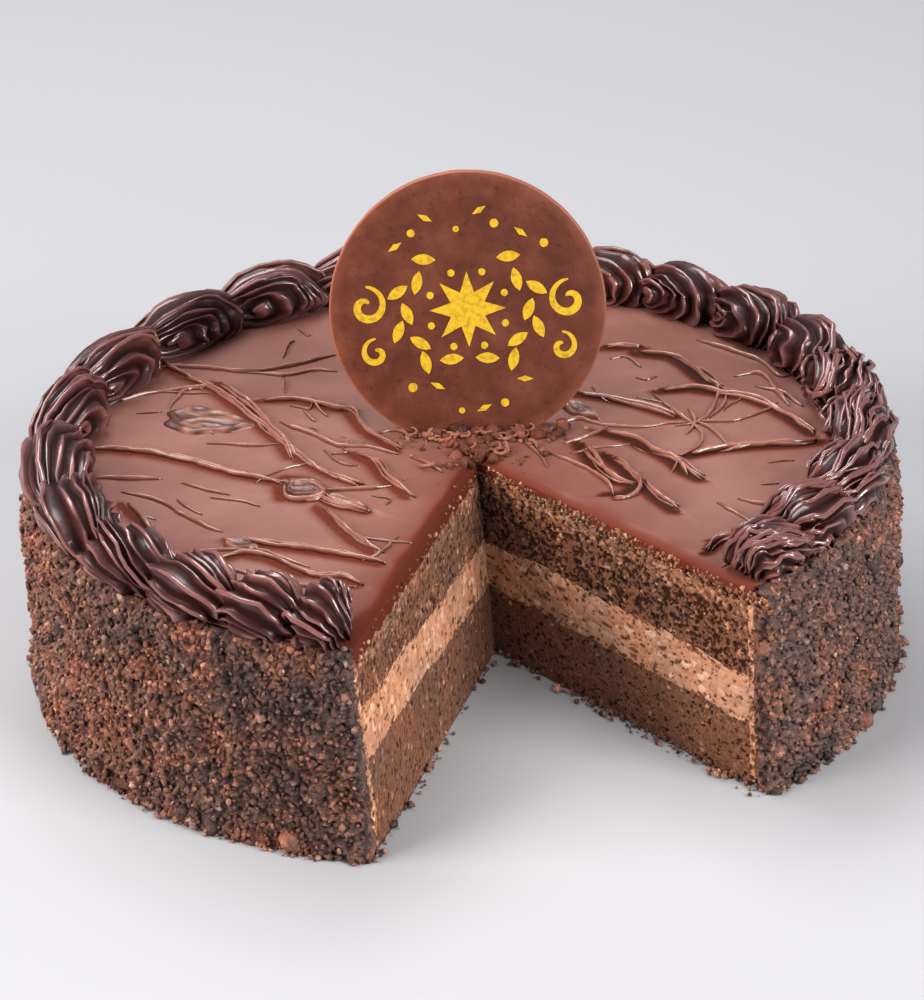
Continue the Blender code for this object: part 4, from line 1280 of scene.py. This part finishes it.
# Flakes and small lumps of ganache and crumbs lie where the disc was pushed in and round the cut's tip.
# They fell while the cake was finished and stuck to the soft top; the softest rolled up into little curls.
SHAVINGS = 300
LUMPS = 46
CURLS = 34
CURL_STEPS = 15
SHAVING_TONES = ((0.0, (0.028, 0.007, 0.004)), (0.5, (0.125, 0.037, 0.022)), (1.0, (0.320, 0.145, 0.095)))

draw = np.random.default_rng(101)
foot = np.array(DISC_FOOT[:])
along = np.array((math.cos(DISC_TURN), math.sin(DISC_TURN)))
toward = np.array((along[1], -along[0]))


def strew(count):
    """Places on the top along the disc's foot and round the cut's tip."""
    spots = []
    while len(spots) < count:
        if draw.random() < 0.62:
            spot = foot + along * draw.normal(0, 10) * MM + toward * (2.2 + abs(draw.normal(0, 3.0))) * MM
        else:
            spot = CUT_TIP + draw.normal(0, 6, 2) * MM + (0, 5 * MM)
        if on_top(spot, clear=0.8 * MM):
            spots.append(spot)
    spots = np.array(spots)
    return spots, GANACHE_TOP + spatula_marks(spots)


spots, level = strew(SHAVINGS)
sizes = 0.25 * MM + 0.6 * MM * draw.random(SHAVINGS) ** 2
shades = np.clip(draw.normal(0.5, 0.22, SHAVINGS), 0.05, 1)
centres = np.column_stack([spots, level + 0.3 * sizes])
flakes = scatter_crumbs("disc_foot_flakes", centres, sizes, shades, 102, 1)
shaving_finish = crumb_finish("shavings", SHAVING_TONES, 0.6 * MM, 0.42)
serve(flakes, shaving_finish, "ganache")
spots, level = strew(LUMPS)
sizes = draw.uniform(0.8, 1.9, LUMPS) * MM
shades = np.clip(draw.normal(0.38, 0.14, LUMPS), 0.05, 1)
centres = np.column_stack([spots, level + 0.25 * sizes])
lumps = scatter_crumbs("disc_foot_lumps", centres, sizes, shades, 103)
serve(lumps, shaving_finish, "ganache")
spots, level = strew(CURLS)
rolled_up = []
for spot, height in zip(spots, level):
    turns = draw.uniform(0, 6) + np.linspace(0, draw.uniform(2.0, 5.5), CURL_STEPS)
    size = draw.uniform(1.0, 2.2) * MM * np.linspace(1, 0.55, CURL_STEPS)
    tilt = draw.normal(0, 0.5)
    rise = 0.5 * MM + size * np.sin(turns) * math.sin(tilt) * 0.5 + np.linspace(0, 0.8, CURL_STEPS) * MM
    path = np.column_stack([spot[0] + size * np.cos(turns), spot[1] + size * np.sin(turns), height + rise])
    taper = np.sin(math.pi * np.linspace(0.08, 0.92, CURL_STEPS)) ** 0.5
    rolled_up.append(round_cord(path, draw.uniform(0.28, 0.5) * MM * taper, 0.75))
curls = knit("disc_foot_curls", *gather(rolled_up))
serve(curls, shaving_finish, "ganache")


# Crumbs that the knife drew up cling to the ganache's edge on the right cut, with a few on the left one.
# They are the sponge's own crumbs, paler where the mousse smeared them.
RIGHT_CLINGING = 700
LEFT_CLINGING = 70

centres = []
for (side, along, away), count in zip(CUTS, (RIGHT_CLINGING, LEFT_CLINGING)):
    reach = draw.uniform(3, 92, count) * MM
    height = GANACHE_TOP - 1.2 * MM - 3.2 * MM * draw.random(count)
    face = np.full(count, side)
    spots = CUT_TIP + np.outer(reach, along)
    spots = spots + knife_lean(spots, height, face, reach)
    spots = spots + np.outer(knife_wander(face, reach, height) + 0.40 * MM, away)
    centres.append(np.column_stack([spots, height]))
centres = np.vstack(centres)
sizes = 0.20 * MM + 0.55 * MM * draw.random(len(centres)) ** 2
shades = np.clip(draw.normal(0.62, 0.20, len(centres)), 0.05, 1)
clinging = scatter_crumbs("clinging_crumbs", centres, sizes, shades, 105, 1)
serve(clinging, sponge_finish, "sponge")


# A plain pale table top and soft studio light: a lamp in front on the right, a broad warm one low on the
# left, a faint one overhead, and one high behind that draws bright lines along the crests of the border
# and the drizzle. The camera looks down on the open cut.
floor_mesh = bpy.data.meshes.new("table_top")
floor_mesh.from_pydata([(-6, -3, 0), (6, -3, 0), (6, 9, 0), (-6, 9, 0)], [], [(0, 1, 2, 3)])
floor = bpy.data.objects.new("table_top", floor_mesh)
floor.location.z = -0.1 * MM
bpy.context.scene.collection.objects.link(floor)
floor_finish, shader = finish("pale_table", 0.6, Specular_IOR_Level=0.3)
veil = ramp(floor_finish, grain(floor_finish, 0.5, 2.0),
            ((0.3, (0.300, 0.300, 0.312)), (0.7, (0.320, 0.320, 0.332))))
join(floor_finish, veil, shader.inputs["Base Color"])
floor_mesh.materials.append(floor_finish)


def lamp(name, place, aim, width, height, watts, colour, mirrored=True):
    """A softbox; one that isn't mirrored lights the cake without a glare on its satin top."""
    light = bpy.data.lights.new(name, "AREA")
    light.shape = "RECTANGLE"
    light.size = width
    light.size_y = height
    light.energy = watts
    light.color = colour
    made = bpy.data.objects.new(name, light)
    made.location = place
    made.rotation_euler = (Vector(aim) - Vector(place)).to_track_quat("-Z", "Y").to_euler()
    made.visible_glossy = mirrored
    bpy.context.scene.collection.objects.link(made)


lamp("key_softbox", (0.60, -0.85, 0.62), (0, 0, 0.03), 0.6, 0.6, 22.0, (1.0, 0.98, 0.96))
lamp("fill_softbox", (-1.05, -0.14, 0.48), (0, 0, 0.03), 0.8, 0.7, 29.0, (1.0, 0.955, 0.915), mirrored=False)
lamp("top_softbox", (-0.05, 0.15, 0.95), (0, 0, 0.03), 0.9, 0.6, 2.0, (0.98, 0.98, 1.0))
lamp("rear_softbox", (-0.25, 0.85, 1.45), (0, 0.35, 0.0), 1.4, 0.7, 26.0, (0.98, 0.98, 1.0))
world = bpy.data.worlds.new("studio")
world.use_nodes = True
world.node_tree.nodes["Background"].inputs["Color"].default_value = (0.90, 0.92, 1.0, 1.0)
world.node_tree.nodes["Background"].inputs["Strength"].default_value = 0.30
bpy.context.scene.world = world
bpy.context.scene.view_settings.view_transform = "Standard"

CAMERA_PLACE = Vector((-0.1627, -0.7022, 0.3988))
CAMERA_AIM = Vector((0.2019, 0.8696, -0.4505))
CAMERA_ROLL = math.radians(-2.333)
camera_data = bpy.data.cameras.new("camera")
camera_data.lens = 126.0
camera_data.sensor_width = 36.0
camera_data.clip_start = 0.05
camera_data.clip_end = 30.0
camera = bpy.data.objects.new("camera", camera_data)
facing = CAMERA_AIM.to_track_quat("-Z", "Y").to_matrix().to_4x4()
camera.matrix_world = Matrix.Translation(CAMERA_PLACE) @ facing @ Matrix.Rotation(CAMERA_ROLL, 4, "Z")
bpy.context.scene.collection.objects.link(camera)
bpy.context.scene.camera = camera
